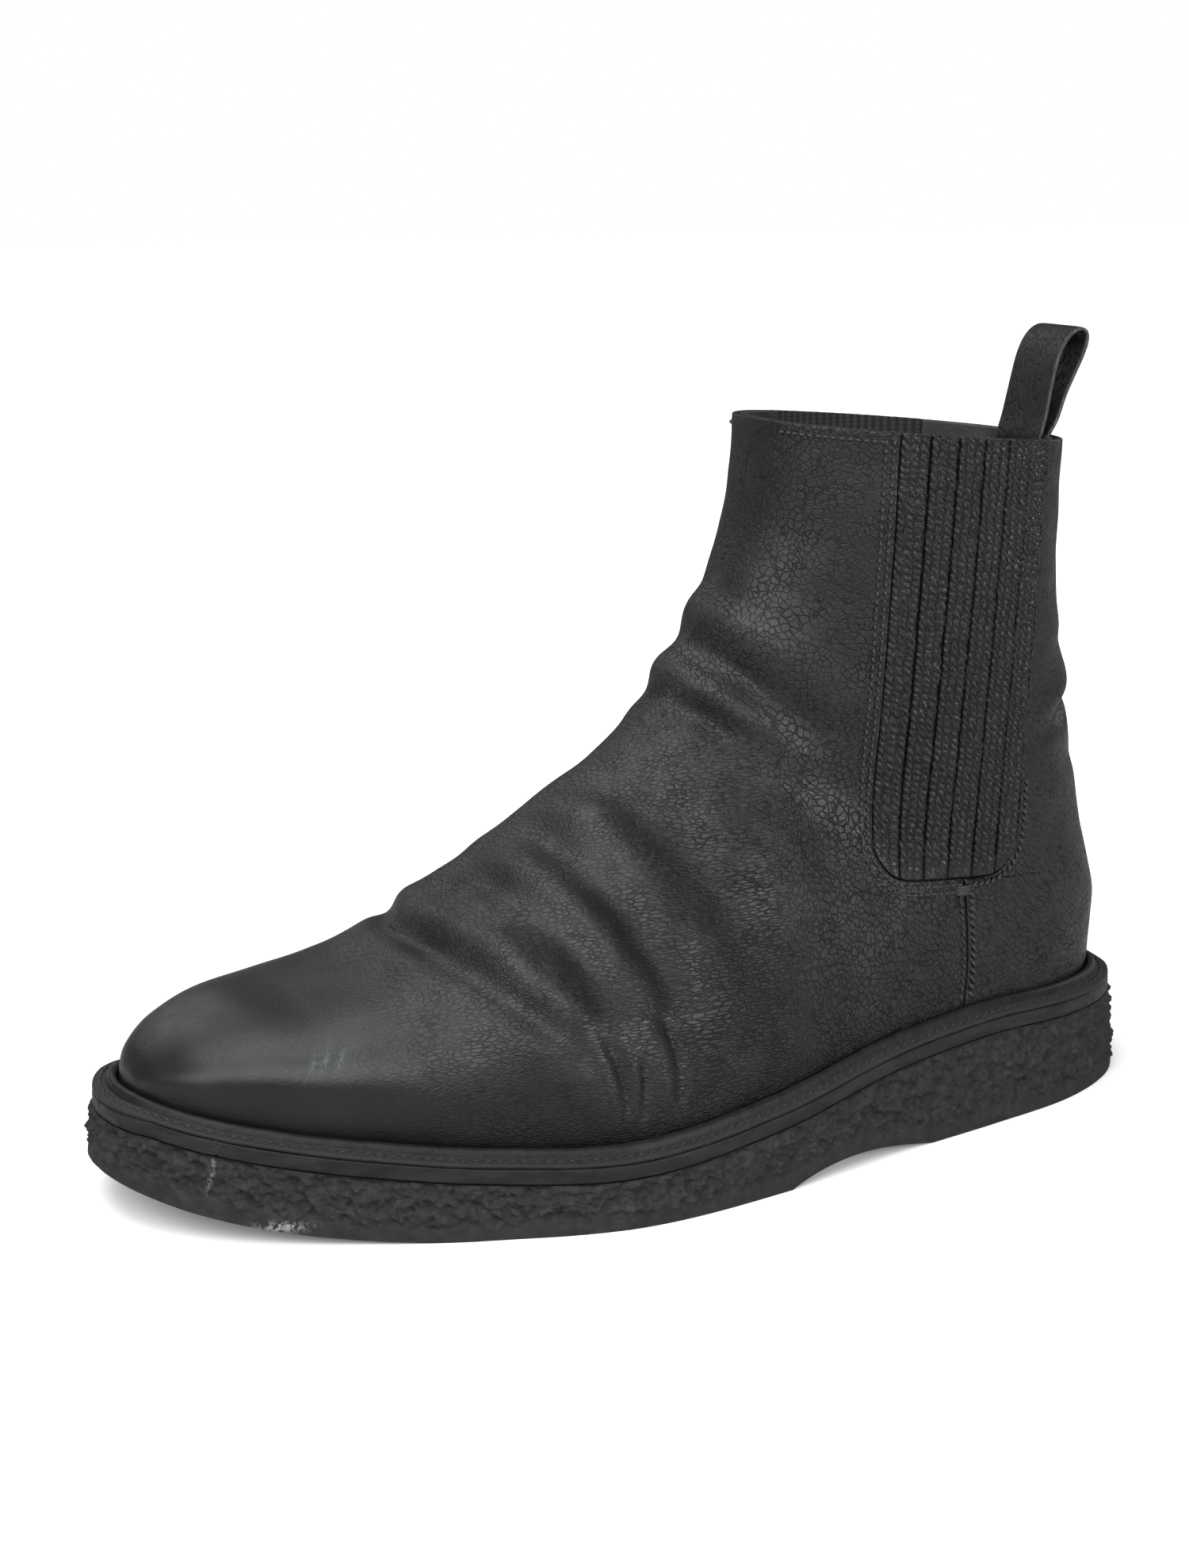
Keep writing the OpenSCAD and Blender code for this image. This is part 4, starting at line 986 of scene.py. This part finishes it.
def stitch_row(points, normals, pitch, radius, fill=0.74, lean=0.0, height=0.35, sink=0.15):
    """Points and faces of a row of short stitches that arch out of the leather."""
    run = run_of(points)
    at = np.linspace(0, run[-1], max(2, int(round(run[-1] / pitch)) + 1))
    p, n = picked(points, run, at), unit(picked(normals, run, at))
    t = np.linspace(0, 1, STITCH_STEPS)
    turn = np.linspace(0, 2 * math.pi, STITCH_SIDES, endpoint=False)
    arch = height * np.sin(math.pi * t) ** 0.6 - sink
    width = radius * (0.55 + 0.45 * np.sin(math.pi * t) ** 0.5)
    stitches = []
    for k in range(len(p) - 1):
        along = p[k + 1] - p[k]
        length = np.linalg.norm(along)
        d = along / length
        up = unit(n[k] + n[k + 1])
        direction = unit(d + lean * np.cross(up, d))
        reach = fill * length / 2 * math.sqrt(1 + lean * lean)
        centre = (p[k] + p[k + 1]) / 2 + (2 * t - 1)[:, None] * reach * direction
        centre = centre + arch[:, None] * up
        ring = (np.cos(turn)[:, None] * np.cross(up, direction)
                + 0.8 * np.sin(turn)[:, None] * up)
        ring = centre[:, None] + width[:, None, None] * ring[None]
        stitches.append((ring.reshape(-1, 3), tube_faces(STITCH_STEPS, STITCH_SIDES)))
    return join(stitches)


def sew(places, side, pitch, radius, **form):
    """A row of stitches on the leather, along places (y, z) on one side."""
    y, z = np.asarray(places, float).T
    p = skin(y, z, side)
    n = wall_normals(y, z, side, STITCH_REACH)
    lift = crease_depth(p, n) + unevenness(p)
    return stitch_row(p + lift[:, None] * n, n, pitch, radius, **form)


def add_stitches(name, rows, stands_for, material=THREAD):
    add_object(name, *join(rows), material, "thread", [stands_for])


def beside(line, distance):
    """A line in the side view, moved sideways, which cuts its corners softly."""
    d = unit(np.gradient(line, axis=0))
    for _ in range(EDGE_SMOOTHING):
        d = unit(np.vstack([d[:1], (d[:-2] + 2 * d[1:-1] + d[2:]) / 4, d[-1:]]))
    return line + distance * np.stack([d[:, 1], -d[:, 0]], -1)


def make_gore_threads():
    """Two rows down the gore's front and round to the seam, and one round its back corner."""
    front = np.vstack([gore_place(0.0, np.linspace(0.985, 0, 60)),
                       gore_place(np.linspace(0.0, SEAM_F, 40)[1:], 0.0)])
    back = np.vstack([gore_place(np.linspace(SEAM_F + 0.06, 1.0, 40), 0.0),
                      gore_place(1.0, np.linspace(0, 0.16, 20)[1:])])
    for side, label in SIDES:
        rows = [sew(beside(front, gap), side, PITCH, 0.42, height=0.5) for gap in (1.5, 3.4)]
        rows.append(sew(beside(back, 1.6), side, 2.0, 0.5, lean=0.9 * side, height=0.55))
        add_stitches(f"gore_stitches_{label}", rows, f"gore_thread_{label}")


def make_seam_threads():
    """A row on each side of the side seam, and the knot of thread at its top."""
    seam = seam_place(np.linspace(0.05, 0.9, 40))
    knot = gore_place(SEAM_F, 0.0) - [0.0, 3.0]
    for side, label in SIDES:
        behind = sew(seam + [2.0, 0.0], side, PITCH, 0.55, fill=0.9, lean=0.9 * side, height=0.6)
        before = sew(seam - [1.6, 0.0], side, PITCH, 0.4, height=0.45)
        add_stitches(f"seam_stitches_{label}", [behind, before], f"seam_thread_{label}")
        bars = []
        for down in 0.6 * np.arange(4):
            bar = knot + [[-2.6, 0.9 - down], [0, 1.0 - down], [2.6, 0.9 - down]]
            bars.append(sew(bar, side, TACK_PITCH, 0.5, fill=0.95, height=0.85))
        add_stitches(f"bar_tack_stitches_{label}", bars, f"bar_tack_{label}")


def make_topline_thread():
    """Row of stitches under the top line of the vamp."""
    drop, from_gore, from_ridge = 2.6, 3.4, 1.5
    y = np.linspace(gore_place(0.0, 1.0)[0] - from_gore, TOP_FRONT[0] + from_ridge, 60)
    places = np.stack([y, topline_z(y) - drop], -1)
    rows = [sew(places, side, PITCH, 0.42, height=0.5) for side, _ in SIDES]
    add_stitches("topline_stitches", rows, "topline_thread")


# ------------------------------------------------------------------ sole

SOLE_POINTS, SOCK_POINTS = 1500, 400
OUTLINE_ROWS, OUTLINE_REACH, OUTLINE_SMOOTHING = 1200, 4, 30
WELT_T, WELT_STEPS, WELT_WOBBLE = 2.75, 6, 0.12
MIDSOLE_TOP = 3.05
MIDSOLE_LOW = MIDSOLE_TOP + 3.9
CREPE_TOP, CREPE_INSET, CREPE_FLARE = MIDSOLE_LOW + 0.1, 0.1, 1.8
SOCK_MARGIN = -5.6

# Section of the welt as (margin outside the feather line, height over it): its inner edge,
# the raised bead, the flat ledge and the outer edge
WELT_LINE = [
    (0.5, -WELT_T), (0.5, -0.6), (0.85, 0.35), (1.6, 0.62), (2.5, 0.25), (3.05, -0.75),
    (3.3, -1.35), (3.75, -1.55), (5.0, -1.62), (6.1, -1.85), (6.55, -2.2), (6.6, -WELT_T),
]
WELT_SEAM = (4.7, -1.58)
LEDGE_FROM, LEDGE_TO = (0.50, 0.60), (0.97, 0.88)


def sole_outline(margin, count=SOLE_POINTS):
    """Outline of the sole at a distance outside the feather line, seen from above."""
    rows = section(np.linspace(0, HEEL_ROW, OUTLINE_ROWS))
    loop = np.vstack([rows[:, [OUT, Y]], rows[-2:0:-1][:, [IN, Y]], rows[:1, [OUT, Y]]])
    run = run_of(loop)
    loop = picked(loop, run, np.linspace(0, run[-1], count, endpoint=False))
    d = unit(np.roll(loop, -OUTLINE_REACH, 0) - np.roll(loop, OUTLINE_REACH, 0))
    for _ in range(OUTLINE_SMOOTHING):
        d = unit(np.roll(d, 1, 0) + 2 * d + np.roll(d, -1, 0))
    return loop + margin * np.stack([d[:, 1], -d[:, 0]], -1)


def sole_loops(profile, count=SOLE_POINTS):
    """Outlines round the sole, from (margin, height) pairs."""
    loops = []
    for margin, height in profile:
        loop = sole_outline(margin, count)
        loops.append(np.column_stack([loop, feather_z(loop[:, 1]) + height]))
    return np.stack(loops)


def cap_faces(start, count, flip):
    """Strips across the foot that close one end of a stack of outlines."""
    half = count // 2
    faces = [[start + k, start + k + 1, start + count - k - 1, start + count - k]
             for k in range(1, half - 1)]
    faces.append([start, start + 1, start + count - 1])
    faces.append([start + half - 1, start + half, start + half + 1])
    return faces if flip else [face[::-1] for face in faces]


def stack_faces(rows, count):
    """Faces of a closed solid made of outlines on top of each other."""
    return (grid_faces(rows, count, closed=True) + cap_faces(0, count, True)
            + cap_faces((rows - 1) * count, count, False))


def make_welt():
    last = len(WELT_LINE) - 1
    profile = catmull(np.array(WELT_LINE), np.linspace(0, last, last * WELT_STEPS + 1))
    loops = sole_loops(profile)
    loops[..., 2] += WELT_WOBBLE * perlin(loops, 9.0, 2.0)
    rows = len(profile)
    faces = np.array(grid_faces(rows + 1, SOLE_POINTS, closed=True)) % (rows * SOLE_POINTS)
    share = np.linspace(0, 1, rows)[:, None]
    dust = smooth(*LEDGE_FROM, share) * smooth(*LEDGE_TO, share)
    add_object("welt_strip", loops, faces.tolist(), WELT, "welt_strip", ["welt"],
               {"dust": np.tile(dust, SOLE_POINTS)})
    line = sole_loops([WELT_SEAM])[0]
    line = np.vstack([line, line[:1]])
    upwards = np.tile([0.0, 0.0, 1.0], (len(line), 1))
    row = stitch_row(line, upwards, WELT_PITCH, 0.42, fill=0.7, height=0.32, sink=0.2)
    add_stitches("welt_stitches", [row], "welt_thread", WELT_THREAD)


SLIT_Y, SLIT_WIDTH, SLIT_DEPTH = -131.0, 0.28, 0.7
SCRATCH_Y, SCRATCH_Z, SCRATCH_LEAN, SCRATCH_WIDTH = -133.0, 15, 0.25, 0.35
SMEAR_Y, SMEAR_Z, SMEAR_LENGTH, SMEAR_HEIGHT = -118, 5.2, 4.5, 1.1
MARKS_FROM_X = 15


def chalk_scratch(loops):
    """The light scratch that runs down the band and the crepe near the toe."""
    x, y, z = np.moveaxis(loops, -1, 0)
    line = SCRATCH_Y + SCRATCH_LEAN * (z - SCRATCH_Z)
    scratch = 0.4 * np.exp(-(((y - line) / SCRATCH_WIDTH) ** 2))
    return scratch * (x > MARKS_FROM_X) * smooth(11, SCRATCH_Z, z)


def chalk_smear(loops):
    """White smear low on the crepe."""
    x, y, z = np.moveaxis(loops, -1, 0)
    away = ((y - SMEAR_Y) / SMEAR_LENGTH) ** 2 + ((z - SMEAR_Z) / SMEAR_HEIGHT) ** 2
    return np.exp(-away) * (x > MARKS_FROM_X)


def make_midsole():
    """Smooth band with a slightly full side and a slit near the toe."""
    m, low, top, inside = WELT_MARGIN, -MIDSOLE_LOW, -MIDSOLE_TOP, 0.3
    side = [(m + 0.1 * math.sin(math.pi * t), low + 0.45 + 3.0 * t)
            for t in np.linspace(0.9, 0.1, 9)]
    profile = [(inside, top), (m - 0.4, top), (m - 0.12, top - 0.1), (m, top - 0.4), *side,
               (m, low + 0.45), (m - 0.12, low + 0.12), (m - 0.45, low), (inside, low)]
    loops = sole_loops(profile)
    cut = np.exp(-(((loops[..., 1] - SLIT_Y) / SLIT_WIDTH) ** 2)) * (loops[..., 0] > 0)
    loops[..., :2] -= (SLIT_DEPTH * cut)[..., None] * unit(loops[..., :2])
    add_object("midsole_band", loops, stack_faces(len(profile), SOLE_POINTS), BAND,
               "midsole_rubber", ["midsole"], {"chalk": chalk_scratch(loops)})


TOE_SPRING, SPRING_FROM, SPRING_TO = 12.0, -76.0, -150.0
ARCH_RISE, ARCH_FROM, ARCH_TO, ARCH_LEAN = 3.8, 8.5, 58.0, 0.8
CREPE_ROWS, CREPE_SWELL = 52, 0.8
COARSE_HEIGHT, FINE_HEIGHT, SMOOTH_HEIGHT, LUMP_HEIGHT = 1.5, 0.7, 0.22, 0.3
ROUGH_FROM_Z = (2.0, 5.5)


def crepe_low_z(y):
    """Height of the underside, which curves up at the toe and arches before the heel."""
    spring = np.maximum((y - SPRING_FROM) / (SPRING_TO - SPRING_FROM), 0)
    arch = np.clip((y - ARCH_FROM) / (ARCH_TO - ARCH_FROM), 0, 1)
    return TOE_SPRING * spring**2 + ARCH_RISE * np.sin(math.pi * arch**ARCH_LEAN)


def make_outsole():
    """Crepe wedge: a rough, pitted side that is smoother along the ground."""
    share = np.linspace(0, 1, CREPE_ROWS)[:, None]
    top = sole_outline(WELT_MARGIN - CREPE_INSET)
    low = sole_outline(WELT_MARGIN + CREPE_FLARE)
    low_z = crepe_low_z(low[:, 1])
    xy = mix(top, low, share[..., None] ** CREPE_SWELL)
    z = mix(feather_z(top[:, 1]) - CREPE_TOP, low_z, share)
    loops = np.concatenate([xy, z[..., None]], -1)
    rough = smooth(*ROUGH_FROM_Z, z - low_z + 1.2 * perlin(loops, 6.0, 4.0))
    rough = rough * smooth(0.0, 0.05, share)
    coarse, fine = perlin(loops, 3.4, 1.0, 3), perlin(loops, 1.5, 8.0, 2)
    amount = (rough * (COARSE_HEIGHT * coarse + FINE_HEIGHT * fine)
              + SMOOTH_HEIGHT * coarse * (1 - rough) + LUMP_HEIGHT * perlin(loops, 9.0, 15.0))
    amount = amount * (smooth(0.0, 0.04, share) * smooth(1.0, 0.97, share))
    d = unit(np.roll(top, -1, 0) - np.roll(top, 1, 0))
    loops[..., :2] += amount[..., None] * np.stack([d[:, 1], -d[:, 0]], -1)
    add_object("crepe_outsole", loops, stack_faces(CREPE_ROWS, SOLE_POINTS), CREPE, "crepe",
               ["outsole"], {"rough": rough, "chalk": chalk_scratch(loops) + chalk_smear(loops)})


def make_sock():
    """Loose sock liner that is seen through the opening."""
    profile = [(SOCK_MARGIN - 0.6, 4.1), (SOCK_MARGIN - 0.1, 3.9), (SOCK_MARGIN, 2.5)]
    add_object("sock_liner_leather", sole_loops(profile, SOCK_POINTS),
               stack_faces(len(profile), SOCK_POINTS), SOCK, "sock_leather", ["sock_liner"])


# ------------------------------------------------------------------ pull tab

TAB_W, TAB_T, TAB_H, TAB_FOOT = 20.0, 1.3, 27.9, 1.4
TAB_BULGE, TAB_LEAN = 12.5, 8.5
TAB_ENDS_Z = np.array([168.5, 172.0, 175.5, 178.0])
TAB_INSIDE, TAB_OUTSIDE = LINING_OUT + 0.3 + TAB_T / 2, LEATHER_T + 0.75
TAB_ROWS, TAB_SIDES, TAB_SQUARENESS = 150, 44, 0.35
TAB_CUP, TAB_CUP_HEIGHT, TAB_NARROWING, TAB_NARROW_Z = 0.0125, 28, 0.05, (178, 196)
TAB_WORN_FROM = (0.93, 0.99)
HINGE_Y, BEND_FROM_Z, BEND_TO_Z = 115.8, 178.9, 182.2


def tab_line():
    """Middle line of the strap, from inside the shaft over the loop to the outside."""
    back = back_point(TAB_ENDS_Z)
    turn = math.pi * np.linspace(0.02, 0.98, 17)
    rise = np.sin(turn) ** 0.8
    opened = (1 - np.cos(turn)) / 2
    bulge = TAB_BULGE * rise**2 * (opened - 0.5)
    y = TOP_BACK[0] + mix(-3.6, 0.2, opened) + TAB_LEAN * rise**1.3 + bulge
    loop = np.stack([y, TOP_BACK[1] + mix(TAB_FOOT, TAB_H, rise)], -1)
    line = np.vstack([back - [TAB_INSIDE, 0], loop, (back - [TAB_OUTSIDE, 0])[::-1]])
    return catmull(line, np.linspace(0, len(line) - 1, TAB_ROWS))


def squared(v):
    return np.sign(v) * np.abs(v) ** TAB_SQUARENESS


def make_tab():
    """Strap with a nearly square edge, cupped at its foot, that loops up over the back of the
    top line.
    """
    line = tab_line()
    y, z = line[:, 0, None], line[:, 1, None]
    d = unit(np.gradient(line, axis=0))
    turn = np.linspace(0, 2 * math.pi, TAB_SIDES, endpoint=False)
    across, depth = squared(np.cos(turn)), squared(np.sin(turn)) * TAB_T / 2
    cup = TAB_CUP * np.clip(1 - (z - TOP_BACK[1]) / TAB_CUP_HEIGHT, 0, 1)
    x = (1 - TAB_NARROWING * smooth(*TAB_NARROW_Z, z)) * across * TAB_W / 2
    points = np.stack([x, y - d[:, 1, None] * depth - cup * x**2, z + d[:, 0, None] * depth], -1)
    worn = np.tile(smooth(*TAB_WORN_FROM, np.abs(across)), (TAB_ROWS, 1))
    start, end = ((0, HINGE_Y * MM, bend_z * MM) for bend_z in (BEND_FROM_Z, BEND_TO_Z))
    add_object("pull_tab_strap", points, tube_faces(TAB_ROWS, TAB_SIDES), TAB, "tab_leather",
               ["pull_tab", "pull_tab_anchor"], {"edge": worn},
               blend=("boot", "tab", start, end))


make_leather("vamp", vamp_grid, True, vamp_marks)
make_lining("vamp_lining", vamp_grid, True)
make_leather("back_quarter", quarter_grid, False, quarter_marks)
make_lining("quarter_lining", quarter_grid, False)
for side_and_label in SIDES:
    make_pleats(*side_and_label)
make_gore_threads()
make_seam_threads()
make_topline_thread()
make_welt()
make_midsole()
make_outsole()
make_sock()
make_tab()


# ------------------------------------------------------------------ studio

WORLD_LIGHT, FLOOR_BOUNCE = 0.13, 0.5
FLOOR_REACH, GLOW_FROM, GLOW_TO, GLOW_LEAST = 6.0, 0.15, 0.8, 0.12
BOOT_MIDDLE = np.array([0.0, 0.0, 0.09])

# Soft lamps that look at the middle of the boot: place, size and power
LAMPS = {
    "top": ((-0.15, -0.3, 1.3), (1.1, 1.1), 14),
    "toe_side": ((0.25, -1.25, 0.8), (0.7, 0.9), 9),
    "camera_side": ((0.9, -0.6, 1.0), (1.0, 1.0), 17),
    "shaft_side": ((1.15, 0.55, 0.42), (0.45, 0.6), 10),
    "back": ((-0.3, 1.3, 0.6), (0.35, 0.8), 2),
    "inner_side": ((-1.15, -0.2, 0.75), (0.5, 0.8), 1.5),
}

CAMERA_PLACE = (0.59517, -0.31793, 0.25642)
CAMERA_AZIMUTH, CAMERA_ELEVATION = math.radians(63.19), math.radians(13.646)
LENS, SENSOR_WIDTH = 61.2, 36.0


def looking(place, direction):
    """Matrix of a camera or lamp at a place that looks along a direction."""
    z = unit(-np.array(direction, float))
    x = unit(np.cross([0.0, 0.0, 1.0], z))
    y = np.cross(z, x)
    return Matrix([(x[i], y[i], z[i], place[i]) for i in range(3)] + [(0, 0, 0, 1)])


def make_floor():
    """Pale floor with a glow that only the camera sees and that grows with distance."""
    mesh = bpy.data.meshes.new("floor")
    r = FLOOR_REACH
    mesh.from_pydata([(-r, -r, 0), (r, -r, 0), (r, r, 0), (-r, r, 0)], [], [(0, 1, 2, 3)])
    s = Shader("pale_floor", rough=0.9, specular=0.1)
    reach = s.node("VectorMath", {"operation": "LENGTH"})
    s.plug(reach.inputs[0], s.place)
    seen = s.node("LightPath").outputs["Is Camera Ray"]
    glow = s.times(s.ramp(reach.outputs["Value"], GLOW_FROM, GLOW_TO, GLOW_LEAST), seen)
    s.plug(s.bsdf.inputs["Emission Color"], (1, 1, 1, 1))
    s.plug(s.bsdf.inputs["Emission Strength"], glow)
    pale = s.blend(s.noise(120), (0.90, 0.90, 0.90), (0.93, 0.93, 0.93))
    mesh.materials.append(s.finish(s.blend(seen, (FLOOR_BOUNCE,) * 3, pale)))
    in_scene("floor", mesh)


def make_world():
    """White where the camera looks, and a dimmer grey as a source of light."""
    world = bpy.data.worlds.new("studio")
    bpy.context.scene.world = world
    world.use_nodes = True
    tree = world.node_tree
    seen = tree.nodes.new("ShaderNodeLightPath").outputs["Is Camera Ray"]
    strength = tree.nodes.new("ShaderNodeMapRange")
    strength.inputs["To Min"].default_value = WORLD_LIGHT
    strength.inputs["To Max"].default_value = 1.0
    tree.links.new(seen, strength.inputs["Value"])
    background = tree.nodes["Background"]
    background.inputs["Color"].default_value = (1, 1, 1, 1)
    tree.links.new(strength.outputs["Result"], background.inputs["Strength"])
    bpy.context.scene.view_settings.view_transform = "Standard"


def make_lamps():
    for name, (place, size, power) in LAMPS.items():
        data = bpy.data.lights.new(name, "AREA")
        data.shape = "RECTANGLE"
        data.size, data.size_y = size
        data.energy = power
        in_scene(name, data).matrix_world = looking(place, BOOT_MIDDLE - place)


def make_camera():
    level = math.cos(CAMERA_ELEVATION)
    back = np.array([math.sin(CAMERA_AZIMUTH) * level, -math.cos(CAMERA_AZIMUTH) * level,
                     math.sin(CAMERA_ELEVATION)])
    data = bpy.data.cameras.new("camera")
    data.sensor_width, data.lens = SENSOR_WIDTH, LENS
    camera = in_scene("camera", data)
    camera.matrix_world = looking(CAMERA_PLACE, -back)
    bpy.context.scene.camera = camera


make_floor()
make_world()
make_lamps()
make_camera()
